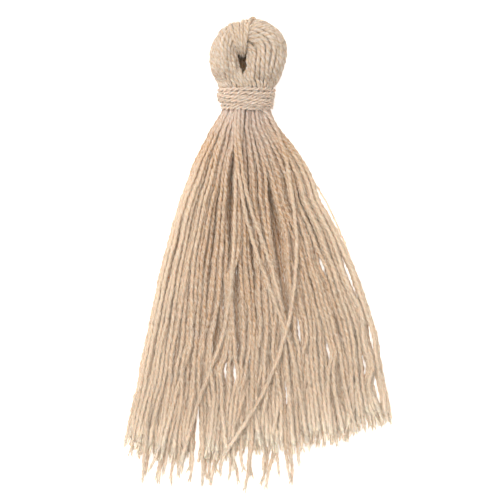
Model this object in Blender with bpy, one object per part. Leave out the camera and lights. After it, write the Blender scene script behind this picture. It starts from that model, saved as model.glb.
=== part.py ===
"""A hand-tied tassel of two-ply yarn, lying on its back.

The head points along +Y, the skirt fans out along -Y, and the tassel rests on z = 0.
A hank of yarn is tied round its middle by the crown tie, folded in two so that both
halves hang side by side, and bound at the neck. Below the neck its cut ends are the skirt.
Sizes here are in millimetres and become metres when a mesh is finished.
"""

import math
from collections import namedtuple

import bmesh
import bpy
import numpy as np
from mathutils import Matrix, Vector
from mathutils.geometry import delaunay_2d_cdt

MM = 0.001
WELD = 1e-4  # vertices this close are one
SHARP = math.radians(50)  # edges bent more than this are shaded sharp
YARN = 0.72  # thickness of the yarn
GAP = 0.3  # clearance between two pieces
RIDGE = 0.2  # how far a yarn stands up from the two grooves beside it

# Head: the folded hank.
HEAD_Z = 5.35  # height of the head's middle: under its half depth, so that it has a flat spot to rest on
ARC_STEPS = 48  # two for each yarn that shows round one half of the hank
WALL_STEPS = 8  # across the inner side, which faces the gap under the fold
CORNER = math.radians(155)  # where the outer arc of a rounded section meets its inner side

# Neck: the part of the hank that the binding squeezes.
NECK_X = -1.85
NECK_Z = 5.1
NECK_TOP_Y = 28.05
NECK_END_Y = 23.5
NECK_TOP_RADIUS = 4.0
NECK_END_RADIUS = 3.23

# Skirt.
STRAND_COUNT = 144
GOLDEN = (math.sqrt(5) - 1) / 2
PLACES_ACROSS = 401  # how finely a section's outline is added up
FLOOR_SHARE = 0.23  # the share of the strands that lie on the floor once the skirt has settled
SWAY = 0.35  # how far the strands wander sideways
SWAY_LENGTH = 23.0
SWAY_LAG = 1.3  # turns by which the sway of the last strand trails that of the first
LAYER = 1.15  # from the floor strands to those on top of them, in sides of a strand
CLEARANCE = 0.30  # between neighbouring strands, in sides of a strand
PUSHES = 200  # rounds of easing the strands apart
PUSH_SHARE = 0.25
FAR = 1000.0  # keeps a strand from being its own neighbour

# Bindings.
BINDING_TURNS = 5
BINDING_STEPS = 40
BINDING_TOP_Y = 27.67
BINDING_END_Y = 23.75
BINDING_SLANT = 0.25  # one side of the binding sits this much lower than the other
TIE_TURNS = 4
TIE_PILE = 0.4  # extra thickness where the turns of the tie crowd together in the gap

HankSection = namedtuple("HankSection", "inner_x inner_y outer_x outer_y half_depth rounded")

# The sections fan round the gap under the fold, from the right side of the neck, over the
# crown, to the left side of the neck. The two ends share their inner side, the foot of the gap.
HANK_SECTIONS = (
    HankSection(-2.45, 29.40, 3.05, 28.40, 4.6, 0.0),
    HankSection(-2.40, 30.20, 3.75, 29.60, 5.2, 0.6),
    HankSection(-2.28, 30.90, 4.20, 31.00, 5.5, 1.0),
    HankSection(-2.02, 31.50, 4.50, 32.40, 5.7, 1.0),
    HankSection(-1.75, 32.05, 4.90, 33.80, 5.7, 1.0),
    HankSection(-1.62, 32.50, 4.65, 35.40, 5.7, 1.0),
    HankSection(-1.62, 32.90, 3.95, 37.00, 5.6, 1.0),
    HankSection(-1.68, 33.20, 2.40, 38.40, 5.4, 1.0),
    HankSection(-1.80, 33.40, 0.10, 39.15, 5.0, 1.0),
    HankSection(-2.10, 33.50, -1.40, 38.45, 4.4, 1.0),
    HankSection(-2.90, 33.50, -4.65, 37.45, 4.4, 1.0),
    HankSection(-3.20, 33.40, -5.90, 37.70, 5.0, 1.0),
    HankSection(-3.36, 33.10, -6.95, 36.60, 5.4, 1.0),
    HankSection(-3.38, 32.70, -7.70, 35.00, 5.6, 1.0),
    HankSection(-3.25, 32.10, -7.95, 33.20, 5.6, 1.0),
    HankSection(-2.92, 31.40, -7.85, 31.60, 5.5, 1.0),
    HankSection(-2.60, 30.40, -7.45, 29.90, 5.2, 0.6),
    HankSection(-2.45, 29.40, -6.75, 28.40, 4.6, 0.0),
)
WAIST_RIGHT = HANK_SECTIONS[9]  # the crown tie sits between these two sections
WAIST_LEFT = HANK_SECTIONS[10]

SkirtSection = namedtuple("SkirtSection", "drop centre_x half_width low high squareness settled side")

# Across the skirt, at each drop below the neck: where the outermost strands run, the lowest
# and highest ones, how square the bundle is, how far it has settled on the floor, and how
# wide each side of a strand is.
SKIRT_SECTIONS = (
    SkirtSection(0.0, -1.85, 2.75, 2.35, 7.85, 2.0, 0.0, 0.24),
    SkirtSection(1.7, -1.85, 5.00, 0.95, 8.90, 2.0, 0.0, 0.38),
    SkirtSection(6.4, -1.60, 8.00, 0.45, 8.30, 2.2, 0.1, 0.50),
    SkirtSection(14.0, -0.70, 12.10, 0.25, 6.40, 3.0, 0.6, 0.49),
    SkirtSection(26.0, -0.10, 16.10, 0.26, 4.10, 4.0, 1.0, 0.52),
    SkirtSection(42.0, 0.45, 20.20, 0.28, 3.20, 5.0, 1.0, 0.56),
    SkirtSection(64.0, 0.25, 24.30, 0.28, 2.80, 6.0, 1.0, 0.56),
)

TipRange = namedtuple("TipRange", "across shortest longest")

# How far below the neck the strands end, from the left edge of the skirt, -1, to the right, 1.
TIP_RANGES = (
    TipRange(-1.00, 54.5, 55.7),
    TipRange(-0.90, 56.0, 59.7),
    TipRange(-0.70, 57.0, 61.3),
    TipRange(-0.20, 57.3, 61.7),
    TipRange(0.00, 57.5, 63.0),
    TipRange(0.30, 56.8, 61.7),
    TipRange(0.33, 54.0, 55.5),
    TipRange(0.56, 54.0, 55.5),
    TipRange(0.86, 50.8, 52.4),
    TipRange(1.00, 49.5, 51.3),
)


def clear_scene():
    for item in list(bpy.data.objects):
        bpy.data.objects.remove(item, do_unlink=True)


def yarn_material(name, colour):
    material = bpy.data.materials.new(name)
    material.use_nodes = True
    shader = material.node_tree.nodes["Principled BSDF"]
    shader.inputs["Base Color"].default_value = (*colour, 1.0)
    shader.inputs["Roughness"].default_value = 0.95
    shader.inputs["Metallic"].default_value = 0.0
    material.diffuse_color = (*colour, 1.0)
    return material


def add_piece(name, bm, collection, material):
    """Turns a mesh in millimetres into a named object in metres."""
    bmesh.ops.remove_doubles(bm, verts=bm.verts, dist=WELD)
    bmesh.ops.recalc_face_normals(bm, faces=bm.faces)
    bm.transform(Matrix.Scale(MM, 4))
    mesh = bpy.data.meshes.new(name)
    bm.to_mesh(mesh)
    bm.free()
    mesh.materials.append(material)
    mesh.shade_smooth()
    mesh.set_sharp_from_angle(angle=SHARP)
    piece = bpy.data.objects.new(name, mesh)
    collection.objects.link(piece)
    return piece


def add_ring(bm, points):
    return [bm.verts.new(point) for point in points]


def skin(bm, first, second, closed=True):
    """Joins two rows of vertices with a strip of faces."""
    count = len(first)
    for k in range(count if closed else count - 1):
        after = (k + 1) % count
        bm.faces.new((first[k], first[after], second[after], second[k]))


def column(rows, name):
    return [getattr(row, name) for row in rows]


def ring_turn(k):
    """The angle round a rounded section, 0 on the outside of the fold and pi in the gap."""
    if k <= ARC_STEPS:
        return CORNER * (1 - 2 * k / ARC_STEPS)
    share = (k - ARC_STEPS) / WALL_STEPS
    return -CORNER - share * (math.tau - 2 * CORNER)


def hank_ring(section, grow=0.0, ridge=RIDGE):
    """One section of the hank: its outer arc from front to back, then its inner side."""
    inner = Vector((section.inner_x, section.inner_y))
    outer = Vector((section.outer_x, section.outer_y))
    reach = (outer - inner).length
    outward = (outer - inner).normalized()
    half = reach / 2
    points = []
    for k in range(ARC_STEPS + WALL_STEPS):
        turn = ring_turn(k)
        on_arc = k <= ARC_STEPS
        if on_arc:
            half_turn = turn * math.radians(90) / CORNER
            plain = Vector((reach * math.cos(half_turn), section.half_depth * math.sin(half_turn)))
        else:
            up_the_wall = 2 * (k - ARC_STEPS) / WALL_STEPS - 1
            plain = Vector((0.0, section.half_depth * up_the_wall))
        wide = half + grow
        deep = section.half_depth + grow
        rounded = Vector((half + wide * math.cos(turn), deep * math.sin(turn)))
        spot = plain.lerp(rounded, section.rounded)
        if on_arc and k % 2:
            spot += (spot - Vector((half, 0.0))).normalized() * ridge
        place = inner + outward * spot.x
        points.append(Vector((place.x, place.y, max(HEAD_Z + spot.y, 0.0))))
    return points


def neck_ring(y, radius, steps, side):
    """Half of a circle round the neck, from front to back by way of the side, 1 or -1."""
    turns = [math.pi * (0.5 - k / steps) for k in range(steps + 1)]
    return [
        Vector((NECK_X + side * radius * math.cos(turn), y, NECK_Z + radius * math.sin(turn)))
        for turn in turns
    ]


def across_at(rank, squareness):
    """Turns a strand's rank into a place from -1 to 1, so that a section is evenly filled."""
    places = np.linspace(-1, 1, PLACES_ACROSS)
    heights = (1 - np.abs(places) ** squareness) ** (1 / squareness)
    filled = np.cumsum(heights)
    return np.interp(rank, filled / filled[-1], places)


def pushed_apart(spots, spacing, grounded, floor):
    """Eases strands that crowd each other apart. Those on the ground only slide along it."""
    spots = spots.copy()
    for _ in range(PUSHES):
        apart = spots[:, None] - spots[None]
        distance = np.abs(apart).max(axis=2) + np.eye(len(spots)) * FAR
        short = np.clip(spacing - distance, 0, None)
        step = PUSH_SHARE * (apart * (short / distance)[..., None]).sum(axis=1)
        step[grounded, 1] = 0.0
        spots += step
        spots[:, 1] = np.where(grounded, spots[:, 1], np.maximum(spots[:, 1], floor))
    return spots


def bundle_at(section):
    """The middle of every strand, as x and z, where the bundle has this section.

    Ranks and heights step on by the golden ratio, so the strands keep apart evenly however
    flat the bundle gets, and no two of them cross.
    """
    index = np.arange(STRAND_COUNT)
    rank = (index + 0.5) / STRAND_COUNT
    level = (index * GOLDEN) % 1
    across = across_at(rank, section.squareness)
    crown = (1 - np.abs(across) ** section.squareness) ** (1 / section.squareness)
    middle = (section.low + section.high) / 2
    round_z = middle + (level - 0.5) * (section.high - section.low) * crown
    on_floor = level < FLOOR_SHARE
    second_layer = section.low + section.side * LAYER
    climb = (level - FLOOR_SHARE) / (1 - FLOOR_SHARE)
    piled_z = second_layer + climb * crown * (section.high - second_layer)
    settled_z = np.where(on_floor, section.low, piled_z)
    phase = math.tau * (section.drop / SWAY_LENGTH + SWAY_LAG * rank)
    sway = SWAY * section.settled * np.sin(phase)
    x = section.centre_x + section.half_width * across + sway
    z = round_z + (settled_z - round_z) * section.settled
    grounded = on_floor & (section.settled == 1.0)
    floor = second_layer if section.settled == 1.0 else section.low
    return pushed_apart(np.stack([x, z], axis=1), section.side * (1 + CLEARANCE), grounded, floor)


def strand_length(index):
    across = across_at((index + 0.5) / STRAND_COUNT, SKIRT_SECTIONS[-1].squareness)
    places = column(TIP_RANGES, "across")
    shortest = np.interp(across, places, column(TIP_RANGES, "shortest"))
    longest = np.interp(across, places, column(TIP_RANGES, "longest"))
    share = (index * math.sqrt(2)) % 1
    return shortest + (longest - shortest) * share**2


def square_ring(spot, drop, side):
    half = side / 2
    x, z = spot
    corners = ((-half, -half), (half, -half), (half, half), (-half, half))
    return [Vector((x + right, NECK_END_Y - drop, z + up)) for right, up in corners]


def add_strand(bm, index, bundles):
    """One strand, open at its root. Returns the vertices of the root."""
    rings = []
    for section, bundle in zip(SKIRT_SECTIONS[:-1], bundles):
        rings.append(add_ring(bm, square_ring(bundle[index], section.drop, section.side)))
    before, last = SKIRT_SECTIONS[-2:]
    length = strand_length(index)
    share = (length - before.drop) / (last.drop - before.drop)
    tip = bundles[-2][index] + (bundles[-1][index] - bundles[-2][index]) * share
    rings.append(add_ring(bm, square_ring(tip, length, last.side)))
    for first, second in zip(rings, rings[1:]):
        skin(bm, first, second)
    bm.faces.new(rings[-1])
    return rings[0]


def fill_neck_end(bm, rim, roots):
    """Fills the flat end of the neck with triangles, leaving each strand's root open in it."""
    verts = []
    owners = []
    edges = []
    for owner, loop in enumerate((rim, *roots)):
        start = len(verts)
        edges += [(start + k, start + (k + 1) % len(loop)) for k in range(len(loop))]
        owners += [owner] * len(loop)
        verts += loop
    flat = [Vector((vert.co.x, vert.co.z)) for vert in verts]
    inside_the_edges = 1
    filled = delaunay_2d_cdt(flat, edges, [], inside_the_edges, WELD)
    triangles, sources = filled[2], filled[3]
    for triangle in triangles:
        corners = [sources[k][0] for k in triangle]
        within_one_root = len({owners[k] for k in corners}) == 1 and owners[corners[0]] > 0
        if not within_one_root:
            bm.faces.new([verts[k] for k in corners])


def build_skein(collection):
    """The hank of yarn: the folded head, the neck, and the cut ends fused at the neck."""
    bm = bmesh.new()
    rings = [add_ring(bm, hank_ring(section)) for section in HANK_SECTIONS]
    for first, second in zip(rings, rings[1:]):
        skin(bm, first, second)

    neck = []
    for hank_end, side in ((rings[0], 1), (rings[-1], -1)):
        before = hank_end[: ARC_STEPS + 1]
        for y, radius in ((NECK_TOP_Y, NECK_TOP_RADIUS), (NECK_END_Y, NECK_END_RADIUS)):
            arc = add_ring(bm, neck_ring(y, radius, ARC_STEPS, side))
            skin(bm, before, arc, closed=False)
            before = arc
        neck.append(before)
    right, left = neck
    rim = right + left[-2:0:-1]
    bundles = [bundle_at(section) for section in SKIRT_SECTIONS]
    roots = [add_strand(bm, index, bundles) for index in range(STRAND_COUNT)]
    fill_neck_end(bm, rim, roots)
    material = yarn_material("skein_yarn", (0.61, 0.455, 0.325))
    return add_piece("skein", bm, collection, material)


def ridge_profile(turns):
    """Places from 0 to 1 across a band of turns side by side, each with the band's thickness."""
    count = 2 * turns
    return [(k / count, YARN if k % 2 else YARN - RIDGE) for k in range(count + 1)]


def build_crown_tie(collection):
    """Turns of yarn round the middle of the hank: over the crown and back through the gap."""
    bm = bmesh.new()
    rings = []
    for k in range(0, ARC_STEPS + WALL_STEPS, 2):
        crowding = TIE_PILE * max(0.0, -math.cos(ring_turn(k)))
        points = []
        for share, thickness in ((1.0, 0.0), (0.0, 0.0), *ridge_profile(TIE_TURNS)):
            lift = GAP + (thickness + crowding if thickness else 0.0)
            left = hank_ring(WAIST_LEFT, lift, 0.0)[k]
            right = hank_ring(WAIST_RIGHT, lift, 0.0)[k]
            points.append(left.lerp(right, share))
        rings.append(add_ring(bm, points))
    for first, second in zip(rings, rings[1:] + rings[:1]):
        skin(bm, first, second)
    material = yarn_material("tie_yarn", (0.60, 0.44, 0.31))
    return add_piece("crown_tie", bm, collection, material)


def build_neck_binding(collection):
    """Turns of yarn side by side round the neck, a little slanted, tighter at the bottom."""
    bm = bmesh.new()
    height = BINDING_TOP_Y - BINDING_END_Y
    taper = (NECK_TOP_RADIUS - NECK_END_RADIUS) / (NECK_TOP_Y - NECK_END_Y)
    rings = []
    for step in range(BINDING_STEPS):
        turn = math.tau * step / BINDING_STEPS
        slant = BINDING_SLANT * (math.cos(turn) - 1) / 2
        points = []
        for share, thickness in ((1.0, 0.0), (0.0, 0.0), *ridge_profile(BINDING_TURNS)):
            y = BINDING_TOP_Y - share * height + slant
            radius = NECK_END_RADIUS + taper * (y - NECK_END_Y) + GAP + thickness
            points.append((NECK_X + radius * math.cos(turn), y, NECK_Z + radius * math.sin(turn)))
        rings.append(add_ring(bm, points))
    for first, second in zip(rings, rings[1:] + rings[:1]):
        skin(bm, first, second)
    material = yarn_material("binding_yarn", (0.63, 0.455, 0.345))
    return add_piece("neck_binding", bm, collection, material)


def build_tassel():
    clear_scene()
    collection = bpy.data.collections.new("tassel")
    bpy.context.scene.collection.children.link(collection)
    build_skein(collection)
    build_crown_tie(collection)
    build_neck_binding(collection)


build_tassel()
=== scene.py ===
# %% [markdown]
# # A hand-tied tassel in two-ply yarn
#
# The solid model has the tassel's true shape, but its strands are square sticks and its head
# is a ridged lump. Here each solid is dressed as what it is: lengths of soft yarn, folded,
# tied, wound and cut. We open the solids first and note the box they fill, so that the
# dressed tassel can be held against it at the end.

# %% Open the solid model
import math
from collections import namedtuple

import bpy
import numpy as np
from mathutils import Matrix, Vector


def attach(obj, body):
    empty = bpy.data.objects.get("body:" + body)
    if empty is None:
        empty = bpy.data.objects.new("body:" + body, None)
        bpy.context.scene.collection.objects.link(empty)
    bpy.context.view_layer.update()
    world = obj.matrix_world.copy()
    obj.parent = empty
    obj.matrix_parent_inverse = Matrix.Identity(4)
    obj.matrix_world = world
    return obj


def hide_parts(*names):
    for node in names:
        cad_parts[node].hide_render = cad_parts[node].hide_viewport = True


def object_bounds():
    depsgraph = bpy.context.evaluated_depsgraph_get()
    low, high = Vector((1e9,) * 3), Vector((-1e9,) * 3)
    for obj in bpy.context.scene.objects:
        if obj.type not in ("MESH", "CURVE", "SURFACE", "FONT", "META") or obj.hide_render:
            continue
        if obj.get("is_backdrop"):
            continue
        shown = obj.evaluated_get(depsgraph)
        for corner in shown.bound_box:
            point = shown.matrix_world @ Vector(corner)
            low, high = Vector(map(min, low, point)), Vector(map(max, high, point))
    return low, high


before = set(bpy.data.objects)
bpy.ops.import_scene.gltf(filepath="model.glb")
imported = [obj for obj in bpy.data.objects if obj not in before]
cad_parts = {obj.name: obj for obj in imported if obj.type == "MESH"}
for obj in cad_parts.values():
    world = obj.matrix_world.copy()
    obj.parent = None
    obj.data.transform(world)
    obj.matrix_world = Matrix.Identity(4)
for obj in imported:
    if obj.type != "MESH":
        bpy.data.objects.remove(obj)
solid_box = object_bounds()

print("solids:", ", ".join(sorted(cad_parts)))

# %% [markdown]
# ## The yarn
#
# The whole tassel is one yarn: two soft plies twisted round each other. A tassel maker's
# craft yarn is well under a millimetre thick, and its plies make a full turn in about two.
# Curves with a bevel would give smooth tubes, and smooth tubes look like wire. So the yarn is
# built ring by ring, with two rounded lobes that turn as they go along. Sizes here are in
# millimetres and become metres when a mesh is made.

# %% Yarn sizes
MM = 0.001
YARN = 0.77  # across both plies of a loose yarn
LAY = 2.3  # length in which the two plies go once round each other
rng = np.random.default_rng(11)
print(f"yarn {YARN} mm thick, {LAY} mm to a turn")

# %% [markdown]
# A ring needs to know which way is sideways. If each ring worked that out alone, the yarn
# would flip over where it turns a corner. Instead each ring takes the sideways direction of
# the ring before and flattens it against its own run. That is how a real yarn is carried
# round a bend, and it adds no twist of its own.

# %% Directions along a yarn
STEEP = 0.9  # a yarn that starts this upright takes its first sideways direction from x


def directions(paths):
    """The run of each yarn and two directions across it, at every ring."""
    along = np.gradient(paths, axis=1)
    along /= np.linalg.norm(along, axis=2, keepdims=True)
    across = np.empty_like(paths)
    upright = np.abs(along[:, 0, 2:]) > STEEP
    before = np.where(upright, (1.0, 0.0, 0.0), (0.0, 0.0, 1.0))
    for ring in range(paths.shape[1]):
        run = along[:, ring]
        before = before - run * (before * run).sum(axis=1, keepdims=True)
        before = before / np.linalg.norm(before, axis=1, keepdims=True)
        across[:, ring] = before
    return along, across, np.cross(along, across)


def length_along(paths):
    """How far along its yarn each ring is."""
    steps = np.linalg.norm(np.diff(paths, axis=1), axis=2)
    return np.concatenate([np.zeros((len(paths), 1)), np.cumsum(steps, axis=1)], axis=1)


corner = np.array([[(0.0, 0.0, 0.0), (3.0, 0.0, 0.0), (3.0, 4.0, 0.0)]])
print(f"3 mm on and 4 mm round a corner: {length_along(corner)[0, -1]:.0f} mm of yarn")

# %% [markdown]
# No yarn is quite straight or quite even. A few sine waves with random lengths and starts,
# added up, give a smooth random line along each yarn. One such line makes it thicker and
# thinner, and two more push it off its own path by a few hundredths of a millimetre.

# %% Uneven lines
WOBBLE = 0.04  # how far a yarn strays from its own line
WOBBLE_WAVES = (2.6, 4.4, 7.5)
WAVE_SPREAD = (0.8, 1.25)  # how much shorter and longer than given a yarn's own waves may be


def random_waves(distance, wavelengths):
    """Smooth random numbers along each yarn, one row for each."""
    total = np.zeros_like(distance)
    for wavelength in wavelengths:
        own = wavelength * rng.uniform(*WAVE_SPREAD, (len(distance), 1))
        start = rng.uniform(0, math.tau, (len(distance), 1))
        total += np.sin(math.tau * distance / own + start)
    return total / math.sqrt(len(wavelengths))


def wobbled(paths):
    """The paths, pushed off their own lines both ways across."""
    _, across, beside = directions(paths)
    distance = length_along(paths)
    aside = across * random_waves(distance, WOBBLE_WAVES)[..., None]
    aside = aside + beside * random_waves(distance, WOBBLE_WAVES)[..., None]
    return paths + WOBBLE * aside


print(f"a yarn strays about {WOBBLE} mm from its own line")

# %% [markdown]
# A slack yarn gets one grooved shape, two lobes that turn as they go along. Thousands of
# rings make slow Python, so the points are worked out as whole arrays, for a batch of yarns
# at a time. A batch also holds what the finish needs to know: a number per yarn, its tint,
# that lets neighbours differ a little in colour and on the skirt also carries painted light
# and shade by height, and a mark for how far the yarn has opened towards a cut end, which
# paints it paler as painted light, or how close it is below the binding, which paints it
# greyer and darker, partly for its tone there and partly as painted shade.

# %% Points of twisted yarn
Batch = namedtuple("Batch", "paths thickness tint opened")
SIDES = 6  # points round the yarn
GROOVE = 0.16  # how much thinner the yarn is between its plies, as a share
SLUB = 0.07  # how much thicker and thinner it gets along the way, as a share
SLUB_WAVES = (3.1, 6.5)
END_PINCH = 0.72  # how thick a yarn's first and last ring are, as a share


def twisted_rings(batch):
    """Points of every ring, as yarns x rings x points x 3, and the length along each yarn."""
    _, across, beside = directions(batch.paths)
    distance = length_along(batch.paths)
    spot = np.arange(SIDES) * math.tau / SIDES
    reach = 1 - GROOVE * (1 - np.cos(2 * spot))
    start = rng.uniform(0, math.tau, (len(batch.paths), 1))
    turn = start - math.tau * distance / LAY
    angle = turn[..., None] + spot
    radius = (batch.thickness[..., None] / 2 * reach)[..., None]
    sideways = across[:, :, None] * np.cos(angle)[..., None]
    sideways = sideways + beside[:, :, None] * np.sin(angle)[..., None]
    return batch.paths[:, :, None] + radius * sideways, distance


def make_batch(paths, thickness, opened=0.0, tint=None):
    """Yarns with uneven paths and thickness, none of them lower than the table."""
    paths = wobbled(np.asarray(paths, float))
    uneven = 1 + SLUB * random_waves(length_along(paths), SLUB_WAVES)
    thickness = np.broadcast_to(thickness, paths.shape[:2]) * uneven
    thickness[:, (0, -1)] *= END_PINCH
    paths[..., 2] = np.maximum(paths[..., 2], thickness / 2)
    tint = rng.uniform(0, 1, len(paths)) if tint is None else np.asarray(tint)
    return Batch(paths, thickness, tint, np.broadcast_to(opened, paths.shape[:2]))


print(f"{SIDES} points to a ring, {GROOVE:.0%} thinner in the grooves")

# %% [markdown]
# The neck binding is pulled tight, which brings out its twist, so it gets two plies that
# really wind round each other. Each ply is a yarn of its own in the batch.

# %% Points of tight yarn
PLY_ASIDE = 0.22  # how far each of two plies is from the middle of its yarn, as a share
PLY_SHARE = 0.60  # how thick a ply is, as a share of its yarn


def two_plied(paths, thickness, tint):
    """A batch of tight yarns, each of them made of two plies."""
    yarns = make_batch(paths, thickness, tint=tint)
    _, across, beside = directions(yarns.paths)
    start = rng.uniform(0, math.tau, (len(yarns.paths), 1))
    turn = (start - math.tau * length_along(yarns.paths) / LAY)[..., None]
    aside = (across * np.cos(turn) + beside * np.sin(turn)) * yarns.thickness[..., None]
    plies = np.concatenate([yarns.paths - PLY_ASIDE * aside, yarns.paths + PLY_ASIDE * aside])
    of_each_yarn = (yarns.thickness * PLY_SHARE, yarns.tint, yarns.opened)
    return Batch(plies, *(np.concatenate([values, values]) for values in of_each_yarn))


print(f"a tight yarn has two plies, {PLY_SHARE:.0%} as thick as itself")

# %% [markdown]
# The rings are joined with quads, and each cut end is closed with one flat face, so every
# yarn is a closed body.

# %% Faces of twisted yarn
def ring_faces(yarns, rings, first):
    """Quads between neighbouring rings, then the two end faces of each yarn."""
    yarn = np.arange(yarns)[:, None, None] * rings
    ring = np.arange(rings - 1)[None, :, None]
    point = np.arange(SIDES)[None, None, :]
    after = (point + 1) % SIDES
    here = (yarn + ring) * SIDES + first
    quads = np.stack([here + point, here + after, here + SIDES + after, here + SIDES + point], -1)
    ends = np.arange(yarns)[:, None] * rings * SIDES + first
    start_cap = ends + np.arange(SIDES)[::-1]
    end_cap = ends + (rings - 1) * SIDES + np.arange(SIDES)
    return quads.reshape(-1, 4), np.concatenate([start_cap, end_cap])


some_quads, some_ends = ring_faces(1, 10, 0)
print(f"a yarn of ten rings: {len(some_quads)} quads and {len(some_ends)} ends")

# %% [markdown]
# Blender can take a mesh as flat arrays of points and corners, which is far quicker than
# adding faces one at a time. A mark is a number kept with each point, and a finish can read
# it by its name.

# %% Mesh from arrays
def mesh_from(name, points, quads, caps):
    """A smooth mesh. Points are in millimetres, and all the caps have as many corners."""
    mesh = bpy.data.meshes.new(name)
    corners = np.concatenate([quads.reshape(-1), caps.reshape(-1)])
    quad_starts = np.arange(len(quads)) * 4
    cap_starts = len(quads) * 4 + np.arange(len(caps)) * caps.shape[1]
    mesh.vertices.add(len(points))
    mesh.loops.add(len(corners))
    mesh.polygons.add(len(quads) + len(caps))
    mesh.vertices.foreach_set("co", (points * MM).reshape(-1))
    mesh.loops.foreach_set("vertex_index", corners.astype(np.int32))
    starts = np.concatenate([quad_starts, cap_starts]).astype(np.int32)
    mesh.polygons.foreach_set("loop_start", starts)
    mesh.update(calc_edges=True)
    mesh.validate()
    mesh.shade_smooth()
    return mesh


def mark_points(mesh, name, values):
    """Keeps one number with each point of the mesh."""
    mark = mesh.attributes.new(name, "FLOAT", "POINT")
    mark.data.foreach_set("value", values.astype(np.float32))


print("meshes are made from arrays")

# %% [markdown]
# The finish has to follow the yarn, so each mesh gets a UV map that runs once round the yarn
# and along it in millimetres. Where a ring closes, the last point's place is 5/6 and the
# next one's is 0. Left so, the finish would run backwards there, so that 0 becomes 1.

# %% Map of the yarn
def map_yarn(mesh, quads, caps, lengths, around):
    """Adds the map that runs round and along each yarn."""
    u = around[quads]
    u[:, 1:3] = np.where(u[:, 1:3] < u[:, :1], u[:, 1:3] + 1, u[:, 1:3])
    flat = np.stack([u, lengths[quads]], axis=-1).reshape(-1, 2)
    ends = np.stack([around[caps], lengths[caps]], axis=-1).reshape(-1, 2)
    yarn_map = mesh.uv_layers.new(name="yarn_map")
    yarn_map.data.foreach_set("uv", np.concatenate([flat, ends]).reshape(-1).astype(np.float32))


print("the map runs round and along each yarn")

# %% [markdown]
# One object for each yarn would mean hundreds of them. A piece holds many yarns instead, a
# few batches in one mesh. A tassel has nothing that swings on a hinge, so every piece rides
# on its one body.

# %% Pieces of yarn
def place_piece(name, mesh, finish):
    """Puts a mesh into the scene with its finish, as a piece of the tassel."""
    piece = bpy.data.objects.new(name, mesh)
    bpy.context.scene.collection.objects.link(piece)
    mesh.materials.append(finish)
    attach(piece, "root")
    triangles = sum(len(face.vertices) - 2 for face in mesh.polygons)
    print(f"{name}: {triangles} triangles")
    return piece


def yarn_piece(name, batches, finish):
    """One object holding every yarn of these batches."""
    columns = []
    first = 0
    for batch in batches:
        points, distance = twisted_rings(batch)
        yarns, rings = batch.paths.shape[:2]
        quads, caps = ring_faces(yarns, rings, first)
        tints = np.repeat(batch.tint, rings * SIDES)
        opened = np.repeat(batch.opened.reshape(-1), SIDES)
        lengths = np.repeat(distance.reshape(-1), SIDES)
        around = np.tile(np.arange(SIDES) / SIDES, yarns * rings)
        columns.append((points.reshape(-1, 3), quads, caps, tints, opened, lengths, around))
        first += yarns * rings * SIDES
    points, quads, caps, tints, opened, lengths, around = map(np.concatenate, zip(*columns))
    mesh = mesh_from(name, points, quads, caps)
    mark_points(mesh, "tint", tints)
    mark_points(mesh, "opened", opened)
    map_yarn(mesh, quads, caps, lengths, around)
    return place_piece(name, mesh, finish)


print("a piece holds whole batches of yarn")

# %% [markdown]
# Down of loose fibres stands off every soft yarn. It blurs the edges and catches light over
# the grooves. Blender's hair could draw it, but only as a particle system, and here every
# piece is a mesh. So each fibre is a thin closed spike: a tiny triangle on the yarn's surface
# and one point that it tapers to. It follows the yarn and leans away from it. Most stand on
# the upper side, since the table presses the down below flat.

# %% Loose fibres
FIBRE = 0.055  # across a fibre at its root
FIBRE_ROOT = 0.42  # how far the root is from the yarn's middle, as a share of its thickness
FIBRE_LENGTHS = (0.5, 1.9)
FIBRE_LEANS = (math.radians(2), math.radians(24))  # away from the run of its yarn
FIBRE_SWERVE = 0.6  # how much of its lean a fibre also takes sideways
ROOT_CORNERS = (0.0, 2.1, 4.2)  # where the triangle's corners are round the root, in radians
BACKWARDS = 0.25  # the share of the fibres that point back up their yarn
UNDERSIDE = -0.2  # below this, a fibre is on the side that the table presses flat
TURNED_UP = 0.8  # the share of those that stand on the upper side instead
FIBRE_CLEARANCE = 0.02  # between a fibre and the table


def fibres_on(batch, per_mm, towards_end):
    """The four points of each spike. Above 1, towards_end crowds them towards the cut ends."""
    run, across, beside = directions(batch.paths)
    length = length_along(batch.paths)[:, -1]
    count = int(per_mm * length.sum())
    yarn = rng.choice(len(length), count, p=length / length.sum())
    last_ring = batch.paths.shape[1] - 1.001  # a hair short, so that a ring always follows
    place = rng.uniform(0, 1, count) ** (1 / towards_end) * last_ring
    ring = place.astype(int)
    share = (place - ring)[:, None]
    middle = batch.paths[yarn, ring] * (1 - share) + batch.paths[yarn, ring + 1] * share
    spin = rng.uniform(0, math.tau, (count, 1))
    outward = across[yarn, ring] * np.cos(spin) + beside[yarn, ring] * np.sin(spin)
    pressed = (outward[:, 2] < UNDERSIDE) & (rng.uniform(0, 1, count) < TURNED_UP)
    outward[pressed] *= -1
    root = middle + outward * (batch.thickness[yarn, ring, None] * FIBRE_ROOT)
    lean = rng.uniform(*FIBRE_LEANS, (count, 1))
    onward = run[yarn, ring] * rng.choice((-1.0, 1.0), (count, 1), p=(BACKWARDS, 1 - BACKWARDS))
    swerve = np.cross(run[yarn, ring], outward) * rng.normal(0, FIBRE_SWERVE, (count, 1))
    heading = onward * np.cos(lean) + outward * np.sin(lean) + swerve * np.sin(lean)
    heading /= np.linalg.norm(heading, axis=1, keepdims=True)
    tip = root + heading * rng.uniform(*FIBRE_LENGTHS, (count, 1))
    side = np.cross(heading, outward)
    side /= np.linalg.norm(side, axis=1, keepdims=True)
    upright = np.cross(side, heading)
    corners = [
        root + FIBRE / 2 * (side * math.cos(turn) + upright * math.sin(turn))
        for turn in ROOT_CORNERS
    ]
    spikes = np.stack([*corners, tip], axis=1)
    spikes[..., 2] = np.maximum(spikes[..., 2], FIBRE_CLEARANCE)
    return spikes


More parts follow.
